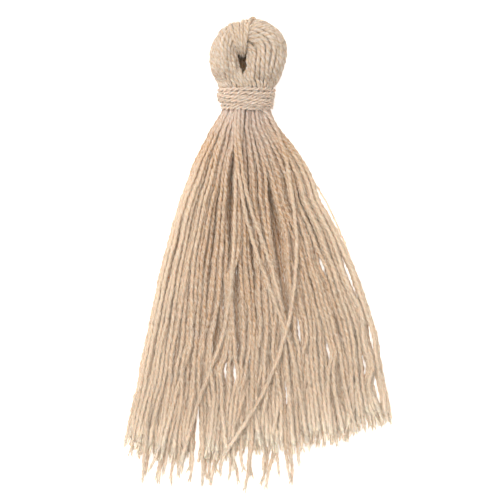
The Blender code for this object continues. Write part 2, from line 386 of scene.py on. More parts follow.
print(f"fibres from {FIBRE_LENGTHS[0]} to {FIBRE_LENGTHS[1]} mm long")

# %% [markdown]
# The spikes of all the batches go into one mesh, four triangles for each. Every fibre gets a
# tint of its own.

# %% Pieces of loose fibres
def fibre_piece(name, batches, per_mm, finish, towards_end=1.0):
    """Loose fibres, per_mm of them on each millimetre of these yarns."""
    spikes = np.concatenate([fibres_on(batch, per_mm, towards_end) for batch in batches])
    first = np.arange(len(spikes))[:, None, None] * 4
    triangles = first + np.array(((0, 2, 1), (0, 1, 3), (1, 2, 3), (2, 0, 3)))
    no_quads = np.zeros((0, 4), int)
    mesh = mesh_from(name, spikes.reshape(-1, 3), no_quads, triangles.reshape(-1, 3))
    mark_points(mesh, "tint", np.repeat(rng.uniform(0, 1, len(spikes)), 4))
    return place_piece(name, mesh, finish)


print("a piece of down holds the fibres of whole batches")

# %% [markdown]
# ## The finish of the yarn
#
# Undyed cotton is matt. What makes it read as yarn is not gloss but change: fine fibres that
# run along each ply, a painted highlight on each ply where it stands proud and painted shade
# in the groove beside it, thick and thin places, and a yarn next to it that is a shade pinker
# or yellower. A noise stretched along the yarn's own map gives the fibres, both as colour and
# as a fine bump. All of it is built from nodes, so there is no image to keep with the file.
# Four small helpers join the nodes.

# %% Helpers for nodes
WHITE = (1.0, 1.0, 1.0)


def add_node(nodes, kind, **settings):
    """A new node of this kind, with its settings."""
    node = nodes.new(kind)
    for name, value in settings.items():
        setattr(node, name, value)
    return node


def stretched_noise(tree, source, stretch, scale, detail):
    """A noise whose grain is drawn out along the yarn."""
    squeeze = add_node(tree.nodes, "ShaderNodeMapping")
    squeeze.inputs["Scale"].default_value = stretch
    noise = add_node(tree.nodes, "ShaderNodeTexNoise")
    noise.inputs["Scale"].default_value = scale
    noise.inputs["Detail"].default_value = detail
    tree.links.new(source, squeeze.inputs["Vector"])
    tree.links.new(squeeze.outputs["Vector"], noise.inputs["Vector"])
    return noise.outputs["Fac"]


def tone_ramp(tree, source, tones):
    """Turns a number into a colour, through (place, colour) pairs."""
    ramp = add_node(tree.nodes, "ShaderNodeValToRGB").color_ramp
    node = tree.nodes[-1]
    while len(ramp.elements) < len(tones):
        ramp.elements.new(0.5)
    for element, (place, colour) in zip(ramp.elements, tones):
        element.position = place
        element.color = (*colour, 1.0)
    tree.links.new(source, node.inputs["Fac"])
    return node.outputs["Color"]


def multiply_colours(tree, amount, first, second):
    """The first colour, darkened by the second as far as amount says."""
    mix = add_node(tree.nodes, "ShaderNodeMix", data_type="RGBA", blend_type="MULTIPLY")
    mix.inputs["Factor"].default_value = amount
    tree.links.new(first, mix.inputs["A"])
    tree.links.new(second, mix.inputs["B"])
    return mix.outputs["Result"]


print("node helpers: noise, ramp, product")

# %% [markdown]
# Light doesn't stop at the surface of a yarn. It sinks in between the fibres and comes out
# a little further on, the red part furthest, which keeps the grooves warm. Subsurface
# scattering does that, with a depth of less than half the yarn. A faint sheen softens the
# edges as down does, and the rest is matt.

# %% Soft shader
LIGHT_DEPTH = 0.3  # how far light sinks into the yarn
LIGHT_SPREAD = (1.0, 0.65, 0.45)  # the share of that depth for red, green and blue
SHEEN_TONE = (1.0, 0.94, 0.86, 1.0)


def soft_shader(name, softness):
    """A matt material whose light sinks in a little way, as it does in loose fibres."""
    finish = bpy.data.materials.new(name)
    finish.use_nodes = True
    shader = finish.node_tree.nodes["Principled BSDF"]
    shader.inputs["Roughness"].default_value = 0.92
    shader.inputs["Specular IOR Level"].default_value = 0.06
    shader.inputs["Sheen Weight"].default_value = 0.08
    shader.inputs["Sheen Roughness"].default_value = 0.6
    shader.inputs["Sheen Tint"].default_value = SHEEN_TONE
    shader.inputs["Subsurface Weight"].default_value = softness
    shader.inputs["Subsurface Radius"].default_value = LIGHT_SPREAD
    shader.inputs["Subsurface Scale"].default_value = LIGHT_DEPTH * MM
    return finish, finish.node_tree, shader


print(f"light sinks {LIGHT_DEPTH} mm into the yarn")

# %% [markdown]
# Two things set the tone from place to place. One is the yarn's own tint, read from its mark
# and turned into a shade. The other is painted light and shade on the twist: the two plies
# stand proud and are painted pale, as a painted highlight, and the grooves between them are
# painted darker, as painted shade. The map says where on the ring a point is, so the cosine
# of twice that angle is 1 on the plies and -1 in the grooves.

# %% Shades and plies
# Painted shade in the grooves between the plies, strongest in blue, so that it is warm.
GROOVE_PAINTED_SHADE = 0.16  # how much darker the grooves are
GROOVE_SHARES = (0.45, 1.1, 1.9)  # of that depth for red, green and blue


def own_shade(tree, shades):
    """The colour that goes with each yarn's tint."""
    tint = add_node(tree.nodes, "ShaderNodeAttribute", attribute_name="tint").outputs["Fac"]
    return tone_ramp(tree, tint, shades)


def painted_ply_light(tree, yarn_map):
    """Painted light and shade: pale on the two plies and darker in the grooves between them."""
    round_and_along = add_node(tree.nodes, "ShaderNodeSeparateXYZ")
    tree.links.new(yarn_map, round_and_along.inputs["Vector"])
    twice_round = add_node(tree.nodes, "ShaderNodeMath", operation="MULTIPLY")
    twice_round.inputs[1].default_value = 2 * math.tau
    tree.links.new(round_and_along.outputs["X"], twice_round.inputs[0])
    on_a_ply = add_node(tree.nodes, "ShaderNodeMath", operation="COSINE")
    tree.links.new(twice_round.outputs["Value"], on_a_ply.inputs[0])
    half = add_node(tree.nodes, "ShaderNodeMath", operation="MULTIPLY_ADD")
    half.inputs[1].default_value = half.inputs[2].default_value = 0.5
    tree.links.new(on_a_ply.outputs["Value"], half.inputs[0])
    groove = tuple(1 - GROOVE_PAINTED_SHADE * share for share in GROOVE_SHARES)
    return tone_ramp(tree, half.outputs["Value"], ((0.0, groove), (0.7, WHITE)))


print(f"grooves are {GROOVE_PAINTED_SHADE:.0%} darker than plies")

# %% [markdown]
# The mark for how far the yarn has opened works both ways. Above 0 it makes the yarn paler:
# painted light, for the light that gets through opened fibres. Below 0 it makes it greyer
# and darker, just below the binding: partly the pinker tone the yarn has there, partly
# painted shade where the high root catches the most light.

# %% Paler and greyer yarn
PALE_TONES = ((0.5, (0.78, 0.64, 0.49)), (1.0, (0.93, 0.79, 0.63)))
ROOT_GREY_SHADE = (0.50, 0.46, 0.46, 1.0)


def painted_pale_and_grey(tree, colour):
    """The colour, painted paler as the mark rises above 0, and greyer and darker, partly painted
    shade, as it falls below 0.
    """
    opened = add_node(tree.nodes, "ShaderNodeAttribute", attribute_name="opened").outputs["Fac"]
    paler = add_node(tree.nodes, "ShaderNodeMix", data_type="RGBA")
    tree.links.new(opened, paler.inputs["Factor"])
    tree.links.new(colour, paler.inputs["A"])
    tree.links.new(tone_ramp(tree, opened, PALE_TONES), paler.inputs["B"])
    pressed = add_node(tree.nodes, "ShaderNodeMath", operation="MULTIPLY", use_clamp=True)
    pressed.inputs[1].default_value = -1.0
    tree.links.new(opened, pressed.inputs[0])
    greyer = add_node(tree.nodes, "ShaderNodeMix", data_type="RGBA")
    tree.links.new(pressed.outputs["Value"], greyer.inputs["Factor"])
    tree.links.new(paler.outputs["Result"], greyer.inputs["A"])
    greyer.inputs["B"].default_value = ROOT_GREY_SHADE
    return greyer.outputs["Result"]


# opened yarn is painted paler, as painted light; yarn just below the binding is painted greyer,
# partly its tone and partly painted shade
print("opened yarn is paler, pressed yarn greyer")

# %% [markdown]
# Now the finish itself. One noise, long along the yarn and fine across it, is the fibres. A
# second, far coarser one is the slubs, where dye took unevenly. Their tones are multiplied
# with the painted highlight and painted shade of the plies and with the yarn's own shade.
# The fibres also give a bump that is finer than the mesh could hold.

# %% Yarn finish
SOFTNESS = 0.5  # the share of the light that sinks in
FIBRE_GRAIN = (1.0, 0.20, 1.0)  # the noise's scale round and along the yarn
SLUB_GRAIN = (0.6, 0.30, 1.0)
SLUB_TONES = ((0.3, (0.84,) * 3), (0.7, WHITE))
SLUB_AMOUNT = 0.8
# The shades of the tints. On the skirt, low tints are painted shade on strands deep in the pile,
# and high ones painted light on those on top.
SHADES = ((0.0, (0.89, 0.79, 0.68)), (0.5, (0.95, 0.93, 0.90)), (1.0, (1.0, 1.0, 0.99)))
FIBRE_RELIEF = 0.07


def yarn_finish(name, dark, middle, light):
    """Matt cotton yarn: fibres along the plies, uneven dye, a shade of its own per yarn, and
    painted light and shade on its plies, cut ends and root.
    """
    finish, tree, shader = soft_shader(name, SOFTNESS)
    yarn_map = add_node(tree.nodes, "ShaderNodeUVMap", uv_map="yarn_map").outputs["UV"]
    fibres = stretched_noise(tree, yarn_map, FIBRE_GRAIN, scale=8.0, detail=4.0)
    slubs = stretched_noise(tree, yarn_map, SLUB_GRAIN, scale=1.0, detail=2.0)
    fibre_tone = tone_ramp(tree, fibres, ((0.3, dark), (0.5, middle), (0.7, light)))
    uneven = multiply_colours(tree, SLUB_AMOUNT, fibre_tone, tone_ramp(tree, slubs, SLUB_TONES))
    # painted highlight on the plies and painted shade in their grooves
    plied = multiply_colours(tree, 1.0, uneven, painted_ply_light(tree, yarn_map))
    colour = multiply_colours(tree, 1.0, plied, own_shade(tree, SHADES))
    # painted light towards cut ends, and painted shade just below the binding
    tree.links.new(painted_pale_and_grey(tree, colour), shader.inputs["Base Color"])

    bump = add_node(tree.nodes, "ShaderNodeBump")
    bump.inputs["Strength"].default_value = 0.6
    bump.inputs["Distance"].default_value = FIBRE_RELIEF * MM
    tree.links.new(fibres, bump.inputs["Height"])
    tree.links.new(bump.outputs["Normal"], shader.inputs["Normal"])
    return finish


print(f"fibres give {FIBRE_RELIEF} mm of relief")

# %% [markdown]
# It is all one yarn, but it doesn't look the same all over. The hanging strands are painted
# warm, for the light that is caught between them, the head and its tie are a little greyer,
# the binding is pinker, and inside the gap the yarn is painted darkest, as painted shade for
# the deep fold. So each place gets its own three tones, for the dark, middle and light of its
# fibres. Single fibres let light through and look paler than the yarn they come from.

# %% The tassel's finishes
FIBRE_SHADE = 0.85  # how light the darkest loose fibres are, as a share of the lightest


def fibre_finish(name, colour):
    """Loose fibres, in shades up to this colour."""
    finish, tree, shader = soft_shader(name, 0.0)
    shades = ((0.0, tuple(FIBRE_SHADE * channel for channel in colour)), (1.0, colour))
    tree.links.new(own_shade(tree, shades), shader.inputs["Base Color"])
    return finish


skirt_finish = yarn_finish(
    "skirt_yarn", (0.435, 0.262, 0.14), (0.62, 0.457, 0.328), (0.77, 0.65, 0.54))
head_finish = yarn_finish(
    "head_yarn", (0.44, 0.335, 0.25), (0.63, 0.53, 0.44), (0.76, 0.67, 0.585))
# Painted shade: the yarns inside the gap get darker tones than the rest of the yarn.
gap_shade_finish = yarn_finish(
    "gap_yarn_painted_shade", (0.34, 0.215, 0.125), (0.48, 0.335, 0.215), (0.58, 0.43, 0.30))
tie_finish = yarn_finish(
    "tie_yarn", (0.45, 0.35, 0.265), (0.65, 0.53, 0.42), (0.77, 0.655, 0.545))
binding_finish = yarn_finish(
    "binding_yarn", (0.53, 0.41, 0.335), (0.74, 0.61, 0.515), (0.85, 0.73, 0.64))
loose_finish = fibre_finish("loose_fibre", (0.98, 0.84, 0.68))
head_fibre = fibre_finish("head_fibre", (0.86, 0.75, 0.645))
print("finishes:", ", ".join(finish.name for finish in bpy.data.materials))

# %% [markdown]
# ## Smooth lines through a few places
#
# Every shape below is set down as a short table of places. This helper runs a smooth line
# through them: between two rows it follows a cubic whose slope at each row comes from the
# row's neighbours, the same idea as Blender's automatic curve handles.

# %% Smooth lines
def smooth(rows, values, places):
    """Reads values, known at rows, at other places, on smooth lines."""
    rows, values = np.asarray(rows, float), np.asarray(values, float)
    places = np.clip(np.asarray(places, float), rows[0], rows[-1])
    slopes = np.gradient(values, rows, axis=0)
    low = np.clip(np.searchsorted(rows, places, side="right") - 1, 0, len(rows) - 2)
    width = (rows[low + 1] - rows[low]).reshape(-1, *[1] * (values.ndim - 1))
    t = ((places - rows[low]) / (rows[low + 1] - rows[low])).reshape(width.shape)
    ease = t * t * (3 - 2 * t)
    leave = width * t * (1 - t) ** 2
    arrive = width * t * t * (1 - t)
    straight = values[low] * (1 - ease) + values[low + 1] * ease
    return straight + slopes[low] * leave - slopes[low + 1] * arrive


def through_points(points, rings):
    """A smooth line through a few points, as so many rings."""
    points = np.asarray(points, float)
    run = np.concatenate([[0], np.cumsum(np.linalg.norm(np.diff(points, axis=0), axis=1))])
    return smooth(run, points, np.linspace(0, run[-1], rings))


bend = through_points(((0.0, 0.0), (1.0, 0.0), (1.0, 1.0)), 9)
print(f"a line round a corner bulges to {bend[:, 0].max():.2f} past a side of 1")

# %% [markdown]
# ## The skirt
#
# Below the neck hang 144 cut ends. They spring out from under the binding, sink to the
# table, and fan out as they go. The table gives the skirt's two edges, the height of the
# pile and the yarn's thickness at each drop below the neck.

# %% The skirt's outline
NECK_X = -1.85
NECK_Z = 5.1  # the middle of the neck above the table
NECK_END_Y = 23.5  # where the strands leave the neck, and drops are counted from
STRANDS = 144

Fan = namedtuple("Fan", "drop left right low high squareness settled spacing")
FAN = (
    Fan(-2.5, -5.45, 1.75, 1.75, 8.45, 2.0, 0.0, 0.54),
    Fan(-0.6, -5.90, 2.15, 1.50, 8.70, 2.0, 0.0, 0.56),
    Fan(0.5, -6.45, 2.55, 1.05, 9.00, 2.0, 0.0, 0.62),
    Fan(1.5, -7.10, 3.10, 0.80, 9.20, 2.0, 0.0, 0.66),
    Fan(2.8, -7.95, 3.85, 0.55, 9.20, 2.0, 0.0, 0.69),
    Fan(4.5, -8.80, 5.25, 0.30, 9.10, 2.1, 0.05, 0.70),
    Fan(7.8, -10.55, 7.70, 0.05, 8.50, 2.3, 0.15, 0.70),
    Fan(11.2, -11.80, 9.45, 0.0, 7.40, 2.6, 0.4, 0.70),
    Fan(14.5, -13.05, 10.60, 0.0, 6.30, 2.9, 0.6, 0.70),
    Fan(17.8, -14.10, 12.50, 0.0, 5.30, 3.2, 0.8, 0.70),
    Fan(21.2, -15.00, 14.20, 0.0, 4.30, 3.6, 0.9, 0.70),
    Fan(24.5, -15.95, 15.50, 0.0, 3.60, 4.0, 1.0, 0.70),
    Fan(27.8, -16.75, 16.95, 0.0, 3.15, 4.3, 1.0, 0.70),
    Fan(31.2, -17.45, 18.10, 0.0, 2.80, 4.5, 1.0, 0.70),
    Fan(34.5, -18.10, 19.25, 0.0, 2.55, 4.8, 1.0, 0.70),
    Fan(37.8, -18.80, 20.00, 0.0, 2.35, 5.0, 1.0, 0.70),
    Fan(41.2, -19.55, 20.55, 0.0, 2.20, 5.0, 1.0, 0.70),
    Fan(44.5, -20.10, 21.05, 0.0, 2.05, 5.0, 1.0, 0.70),
    Fan(51.2, -21.65, 22.50, 0.0, 1.90, 5.0, 1.0, 0.70),
    Fan(65.0, -24.60, 24.60, 0.0, 1.80, 5.0, 1.0, 0.70),
)

print(f"skirt: {STRANDS} strands, {FAN[-1].right - FAN[-1].left:.0f} mm wide at the ends")

# %% [markdown]
# ### A place for each strand
#
# Strands dropped at random would bunch and leave bald spots. Stepping through them by the
# golden ratio avoids both: each new strand takes the height that is furthest from those of
# its last few neighbours. So every strand has a rank, from the left edge to the right, and
# a level, from the table to the top of the pile.

# %% Ranks and levels
GOLDEN = (math.sqrt(5) - 1) / 2
PLACES_ACROSS = 401  # how finely the pile's outline is added up
index = np.arange(STRANDS)
rank = (index + 0.5) / STRANDS
level = (index * GOLDEN) % 1


def across_at(share, squareness):
    """Where a rank falls between the edges, -1 to 1, so that the pile is evenly filled."""
    places = np.linspace(-1, 1, PLACES_ACROSS)
    heights = (1 - np.abs(places) ** squareness) ** (1 / squareness)
    filled = np.cumsum(heights)
    return np.interp(share, filled / filled[-1], places)


print(f"ranks {rank[0]:.3f} to {rank[-1]:.3f}")

# %% [markdown]
# ### Lanes
#
# A strand's lane is the line it would keep to if it met no other. It follows the fan, and
# wanders off it more and more towards its free end. Part of that wander is shared with the
# strands beside it, which makes locks and the slits between them. Part is its own, which
# makes strands cross. Each strand also weaves a little up and down among the others, so that
# the grooves between them start and stop.

# %% Stations down the skirt
STATIONS = np.concatenate(
    [[-2.5, -1.5, -0.6, 0.1, 0.8, 1.5, 2.3, 3.3], np.arange(4.5, 66.0, 1.25)]
)
CLOSER_LOCKS = 1.7  # how many times as many locks each further shared wave makes


def waves(count, wavelengths, sideways):
    """Smooth random lines, one per strand. Strands of near ranks share them, all the more so
    where sideways is small. Where it is None, each strand has its own."""
    total = np.zeros((len(STATIONS), count))
    for wavelength in wavelengths:
        phase = rng.uniform(0, math.tau)
        own = rng.uniform(0, math.tau, count) if sideways is None else math.tau * sideways * rank
        sideways = None if sideways is None else sideways * CLOSER_LOCKS
        total += np.sin(math.tau * STATIONS[:, None] / wavelength + phase + own)
    return total / math.sqrt(len(wavelengths))


def column(name):
    """One column of the fan's table, read at every station."""
    return smooth([fan.drop for fan in FAN], [getattr(fan, name) for fan in FAN], STATIONS)


left, right, low, high = (column(name) for name in ("left", "right", "low", "high"))
squareness, settled, spacing = (column(name) for name in ("squareness", "settled", "spacing"))
middle, half_width = (left + right) / 2, (right - left) / 2 - spacing / 2
print(f"{len(STATIONS)} stations down the skirt")

# %% [markdown]
# At a station, the strands spread over an outline that is round at the neck and a low, nearly
# square heap at the ends. The crown is how high the heap is under each strand, as a share.
# The wander starts a little below the binding, and is held back at the skirt's edges, which
# have to stay where the table puts them.

# %% Lanes down the skirt
SHARED_WANDER = 0.60
SHARED_WAVES = (31.0, 19.0, 47.0)
LOCKS = 4.3  # how many locks the shared waves make across the skirt
OWN_WANDER = 0.75
OWN_WAVES = (23.0, 37.0, 61.0)
WANDER_FROM, WANDER_OVER = 3, 45  # the drop at which wander starts, and over which it grows
EDGE_HOLD = 6  # wander is held back over the outer sixth of each side
EDGE_WANDER = 0.15  # the share of it that is left at the very edge
WEAVE_ASIDE = 0.16
WEAVE_ASIDE_WAVES = (10.0, 15.0)
WEAVE_HEIGHT = 0.30
WEAVE_HEIGHT_WAVES = (11.0, 17.0)
WEAVES_FULLY_AT = 10  # the drop, counted from the neck

across = np.array([across_at(rank, power) for power in squareness])
crown = (1 - np.abs(across) ** squareness[:, None]) ** (1 / squareness[:, None])
held_at_edge = np.clip((1 - np.abs(across)) * EDGE_HOLD, EDGE_WANDER, 1)
loose = np.clip((STATIONS - WANDER_FROM) / WANDER_OVER, 0, 1)[:, None] * held_at_edge
wander = SHARED_WANDER * waves(STRANDS, SHARED_WAVES, LOCKS)
wander = wander + OWN_WANDER * waves(STRANDS, OWN_WAVES, None)
weaving = np.clip(STATIONS / WEAVES_FULLY_AT, 0, 1)[:, None]
wander = wander * loose + WEAVE_ASIDE * weaving * waves(STRANDS, WEAVE_ASIDE_WAVES, None)
lane_x = middle[:, None] + half_width[:, None] * across + wander
radius = spacing[:, None] / 2
room = np.clip((high - low)[:, None] - 2 * radius, 0, None)
round_z = ((low + high) / 2)[:, None] + (level - 0.5) * room * crown
piled_z = radius + level * room * crown
lane_z = round_z + (piled_z - round_z) * settled[:, None]
lane_z += WEAVE_HEIGHT * weaving * waves(STRANDS, WEAVE_HEIGHT_WAVES, None)
print(f"lanes wander up to {np.abs(wander).max():.1f} mm off the fan")

# %% [markdown]
# ### Stray strands
#
# A few strands don't keep to the fan. On top of the pile, one runs down the right side and
# then sweeps across to the left, another leans to the left beside it, and two run down
# together from the middle to the right. On the table, a thin pale one has pulled free of
# the right edge and bows out beside it. Each is set down as a few places: the drop below the
# neck and how far to the side.

# %% Stray strands
Stray = namedtuple("Stray", "length share pale on_top places")
STRAYS = (
    Stray(58.3, 1.0, 0.35, True, (
        (-2.5, 0.0), (2.5, 2.6), (6.2, 4.6), (13.7, 5.6), (20.3, 6.75), (24.2, 6.75),
        (29.5, 6.1), (34.8, 5.4), (39.3, 4.25), (43.8, 2.6), (47.0, 1.1), (50.7, -1.25),
        (54.8, -4.1), (58.0, -6.3), (65.0, -9.5))),
    Stray(60.2, 1.0, 0.25, True, (
        (-2.5, -2.4), (2.5, -2.7), (7.8, -3.25), (14.5, -3.6), (29.5, -4.4), (34.8, -5.1),
        (39.0, -6.1), (43.0, -7.9), (46.2, -9.4), (52.0, -11.2), (60.0, -13.0), (65.0, -14.0))),
    Stray(56.6, 1.0, 0.3, True, (
        (-2.5, -3.2), (2.5, -3.4), (7.5, -3.3), (12.5, -2.7), (17.7, -2.0), (21.0, -1.0),
        (23.7, 0.0), (26.7, 1.0), (29.7, 2.3), (32.3, 3.4), (35.7, 4.6), (39.0, 5.5),
        (47.8, 7.2), (57.0, 8.6), (65.0, 9.6))),
    Stray(57.0, 1.0, 0.3, True, (
        (-2.5, -3.0), (2.5, -3.3), (7.0, -3.3), (10.0, -2.8), (12.5, -2.3), (15.0, -1.6),
        (17.7, -0.7), (20.0, 0.35), (23.0, 1.6), (25.7, 2.5), (28.0, 3.1), (31.2, 3.9),
        (36.0, 4.4), (42.0, 4.9), (50.0, 5.6), (57.0, 6.1), (65.0, 6.6))),
    Stray(51.0, 0.5, 0.95, False, (
        (-2.5, 0.3), (2.5, 2.5), (7.8, 6.6), (11.2, 9.7), (12.8, 10.7), (14.5, 11.75),
        (16.2, 12.6), (17.8, 13.25), (19.5, 13.85), (21.2, 14.4), (24.5, 15.55), (27.8, 16.95),
        (31.2, 18.2), (34.5, 19.4), (37.8, 20.15), (41.2, 20.6), (47.8, 21.6), (53.0, 22.6),
        (65.0, 24.2))),
)
print(f"{len(STRAYS)} strays, {sum(stray.on_top for stray in STRAYS)} of them on top")

# %% [markdown]
# A stray on top needs a height as well. It lies on the pile's own crown, and stands a little
# above it. The one on the table comes down from the neck within a few millimetres.

# %% Heights of the strays
LAID_ON = 0.45  # how far a strand on top stands above the pile
PILE_MARGIN = 0.2  # how much wider than its strands the pile counts as
TABLE_REACHED = 14  # the drop at which the stray beside the skirt is down on the table

stray_lanes = np.stack([smooth(*zip(*stray.places), STATIONS) for stray in STRAYS], axis=1)
off_middle = np.clip((stray_lanes - middle[:, None]) / (half_width[:, None] + PILE_MARGIN), -1, 1)
stray_crown = (1 - np.abs(off_middle) ** squareness[:, None]) ** (1 / squareness[:, None])
surface = ((low + high) / 2)[:, None] + ((high - low) / 2)[:, None] * stray_crown - radius
to_table = np.clip(1 - STATIONS / TABLE_REACHED, 0, 1)[:, None] ** 2
on_table = radius + (NECK_Z - radius) * to_table
stray_height = np.where([stray.on_top for stray in STRAYS], surface + LAID_ON, on_table)
print(f"strays lie up to {stray_height.max():.1f} mm high")

# %% [markdown]
# ### Letting the strands settle
#
# The lanes run through each other, and real yarns can't. A rigid body or cloth simulation of
# 150 thin yarns would take hours, but all we need from it is the rest. So we relax instead.
# In each round, strands are drawn a little towards their lanes, pushed apart wherever two
# are closer than a yarn's thickness, smoothed along their length because yarn doesn't kink,
# and kept above the table. After some rounds they lie beside and on each other.

# %% Relax the strands
ROUNDS = 70
DRAWN_FOR = 0.8  # the share of the rounds in which the lanes still draw their strands
DRAW = 0.10
PUSH = 0.34
MOST_PUSH = 3
SMOOTHING = 0.22
FLATTENING = 0.9  # how much of its half thickness a strand on the table keeps below its middle


def push_apart(spots, reach):
    """Moves each strand away from those within reach, at every station."""
    apart = spots[:, :, None] - spots[:, None]
    distance = np.sqrt((apart**2).sum(axis=3)) + 1e-6
    near = np.clip(reach[:, None, None] / distance - 1, 0, MOST_PUSH)
    near[:, np.arange(spots.shape[1]), np.arange(spots.shape[1])] = 0.0
    return PUSH * (apart * near[..., None]).sum(axis=2)


def smoothed(spots):
    """Each strand drawn a little towards the line between its neighbouring stations."""
    after = spots.copy()
    after[1:-1] += SMOOTHING * (spots[:-2] + spots[2:] - 2 * spots[1:-1])
    return after


aside = np.concatenate([lane_x, stray_lanes], axis=1)
height = np.concatenate([lane_z, stray_height], axis=1)
lanes = np.stack([aside, height], axis=-1)
spots = lanes.copy()
for round_number in range(ROUNDS):
    last_rounds = round_number > ROUNDS * DRAWN_FOR
    spots += (0.0 if last_rounds else DRAW) * (lanes - spots)
    spots += push_apart(spots, spacing)
    spots = smoothed(spots)
    spots[..., 1] = np.maximum(spots[..., 1], spacing[:, None] / 2 * FLATTENING)
moved = np.abs(spots - lanes).mean()
print(f"settled: strands moved {moved:.2f} mm on average, pile {spots[..., 1].max():.1f} mm high")

# %% [markdown]
# Pushing widens the skirt a little here and there. So it is stretched sideways by a hair at
# each station, to bring its edges back to where the fan's table says. The edges are smoothed
# first, or a single strand that bows out would pull its whole station narrower.

# %% Bring the edges back
EDGE_SMOOTHING = 4

body = spots[:, :STRANDS, 0]
edges = np.stack([body.min(axis=1) - spacing / 2, body.max(axis=1) + spacing / 2])
for _ in range(EDGE_SMOOTHING):
    edges[:, 1:-1] = (edges[:, :-2] + 2 * edges[:, 1:-1] + edges[:, 2:]) / 4
stretch = (right - left) / (edges[1] - edges[0])
spots[:, :STRANDS, 0] = left[:, None] + (body - edges[0][:, None]) * stretch[:, None]
print(f"stretched by {stretch.min():.3f} to {stretch.max():.3f}")

# %% [markdown]
# ### Furrows and partings
#
# Here and there a few strands on top give way to both sides and leave a furrow, with the
# shaded strands below at its bottom. In a parting all strands give way, and the table shows
# through a long, narrow slit. Each row gives the drop and the side place of its two ends,
# and half its width. The last number of a furrow's row says how far up the pile a strand
# must lie to give way.

# %% Furrows and partings
Parting = namedtuple("Parting", "top top_x end end_x half_width above", defaults=[0.0])
PARTINGS = (
    Parting(22.5, 13.6, 31.8, 17.0, 0.22),
    Parting(23.0, 9.9, 28.0, 11.7, 0.22),
    Parting(33.6, 6.6, 39.4, 7.3, 0.20),
    Parting(34.6, 18.5, 40.6, 19.5, 0.18),
    Parting(36.8, 11.2, 42.2, 12.4, 0.20),
    Parting(39.0, 17.1, 44.8, 18.8, 0.18),
    Parting(41.0, -4.0, 46.2, -3.7, 0.22),
    Parting(41.0, -5.5, 45.5, -5.3, 0.18),
    Parting(42.5, 19.2, 50.0, 20.8, 0.26),
    Parting(44.5, 4.5, 49.5, 5.3, 0.18),
    Parting(47.0, -9.8, 62.0, -10.3, 0.32),
)
FURROWS = (
    Parting(9.0, 1.8, 40.0, 5.7, 0.85, 0.50),
    Parting(24.0, -3.8, 42.0, -3.0, 0.80, 0.50),
    Parting(27.0, -5.3, 47.0, -8.2, 0.50, 0.50),
    Parting(6.0, -4.6, 26.0, -4.1, 0.35, 0.60),
)
print(f"{len(FURROWS)} furrows, {len(PARTINGS)} partings")

# %% [markdown]
# The nearest strands give way most, and those further off hardly notice. The furrows come
# first. Then any slit that has come about by chance is drawn shut. Last come the partings,
# which stay open.

# %% Part the skirt
PARTING_REACH = 2.4
BANK = 0.3  # how much the strands beside a furrow rise, as a share of how far they gave way
SHUT = 0.92  # strands further apart than this share of their spacing leave a slit


def drawn_shut(spots):
    """Closes every slit: the strands on its two sides meet halfway, and those beyond follow."""
    for station, reach in zip(spots, spacing):
        across_it = np.sort(station[:, 0])
        slits = np.diff(across_it) - SHUT * reach
        for slit in np.flatnonzero(slits > 0):
            centre = (across_it[slit] + across_it[slit + 1]) / 2
            away = station[:, 0] - centre
            follows = np.clip(1 - (np.abs(away) - reach / 2) / (2 * PARTING_REACH), 0, 1)
            station[:, 0] -= np.sign(away) * slits[slit] / 2 * follows
    return spots


def part(spots, partings):
    """The strands' spots, given way to both sides of each parting, the nearest ones most."""
    for parting in partings:
        share = (STATIONS - parting.top) / (parting.end - parting.top)
        opened = np.sin(math.pi * np.clip(share, 0, 1))[:, None]
        away = spots[..., 0] - (parting.top_x + (parting.end_x - parting.top_x) * share)[:, None]
        to_right = (away * opened).sum(axis=0) > 0
        height = (spots[..., 1] / high[:, None] * opened).sum(axis=0) / opened.sum()
        gives_way = height >= parting.above
        for side, strands in ((-1, gives_way & ~to_right), (1, gives_way & to_right)):
            off = side * away[:, strands]
            nearest = off.min(axis=1, keepdims=True)
            clear = parting.half_width + spacing[:, None] / 2
            needed = np.clip(clear - nearest, 0, None) * opened
            share_of_it = np.clip(1 - (off - nearest) / PARTING_REACH, 0, 1)
            spots[:, strands, 0] += side * needed * share_of_it
            spots[:, strands, 1] += BANK * (parting.above > 0) * needed * share_of_it
    return spots


whole_skirt = spots[:, :STRANDS].copy()
furrowed = part(spots[:, :STRANDS], FURROWS)
spots[:, :STRANDS] = part(drawn_shut(furrowed), PARTINGS)
gave_way = np.abs(spots[:, :STRANDS] - whole_skirt).max()
print(f"strands gave way by up to {gave_way:.1f} mm")

# %% [markdown]
# ### Where the ends were cut
#
# The ends were cut by eye, along one line that is shorter to the right. About a third of
# the strands were missed and hang out below it, thinner, because nothing beside them keeps
# their twist in. The table gives the line's drop across the skirt, -1 at its left edge and 1
# at its right, and how far down the missed strands reach.

# %% Cut the ends
Cut = namedtuple("Cut", "across line longest")
CUTS = (
    Cut(-1.00, 55.4, 56.6),
    Cut(-0.90, 56.4, 58.6),
    Cut(-0.85, 56.6, 62.2),
    Cut(-0.78, 57.4, 63.0),
    Cut(-0.60, 57.7, 62.4),
    Cut(-0.38, 57.8, 62.7),
    Cut(-0.20, 57.3, 63.0),
    Cut(-0.12, 56.1, 63.2),
    Cut(0.00, 56.4, 64.2),
    Cut(0.15, 56.0, 63.6),
    Cut(0.28, 55.2, 63.0),
    Cut(0.32, 54.9, 56.2),
    Cut(0.62, 54.5, 56.0),
    Cut(0.70, 53.0, 54.5),
    Cut(0.78, 52.2, 53.8),
    Cut(0.90, 51.7, 52.9),
    Cut(1.00, 51.2, 52.2),
)
MISSED = 0.36  # the share of the strands that the blades missed
LEAST_HANGING = 0.4  # the least that a missed strand hangs out, as a share of the most
UNEVEN_CUT = 1.2
CUT_SHORT = 0.3  # the share of that unevenness that lies above the line
CUT_DROP = 56  # about where the cut crosses the skirt

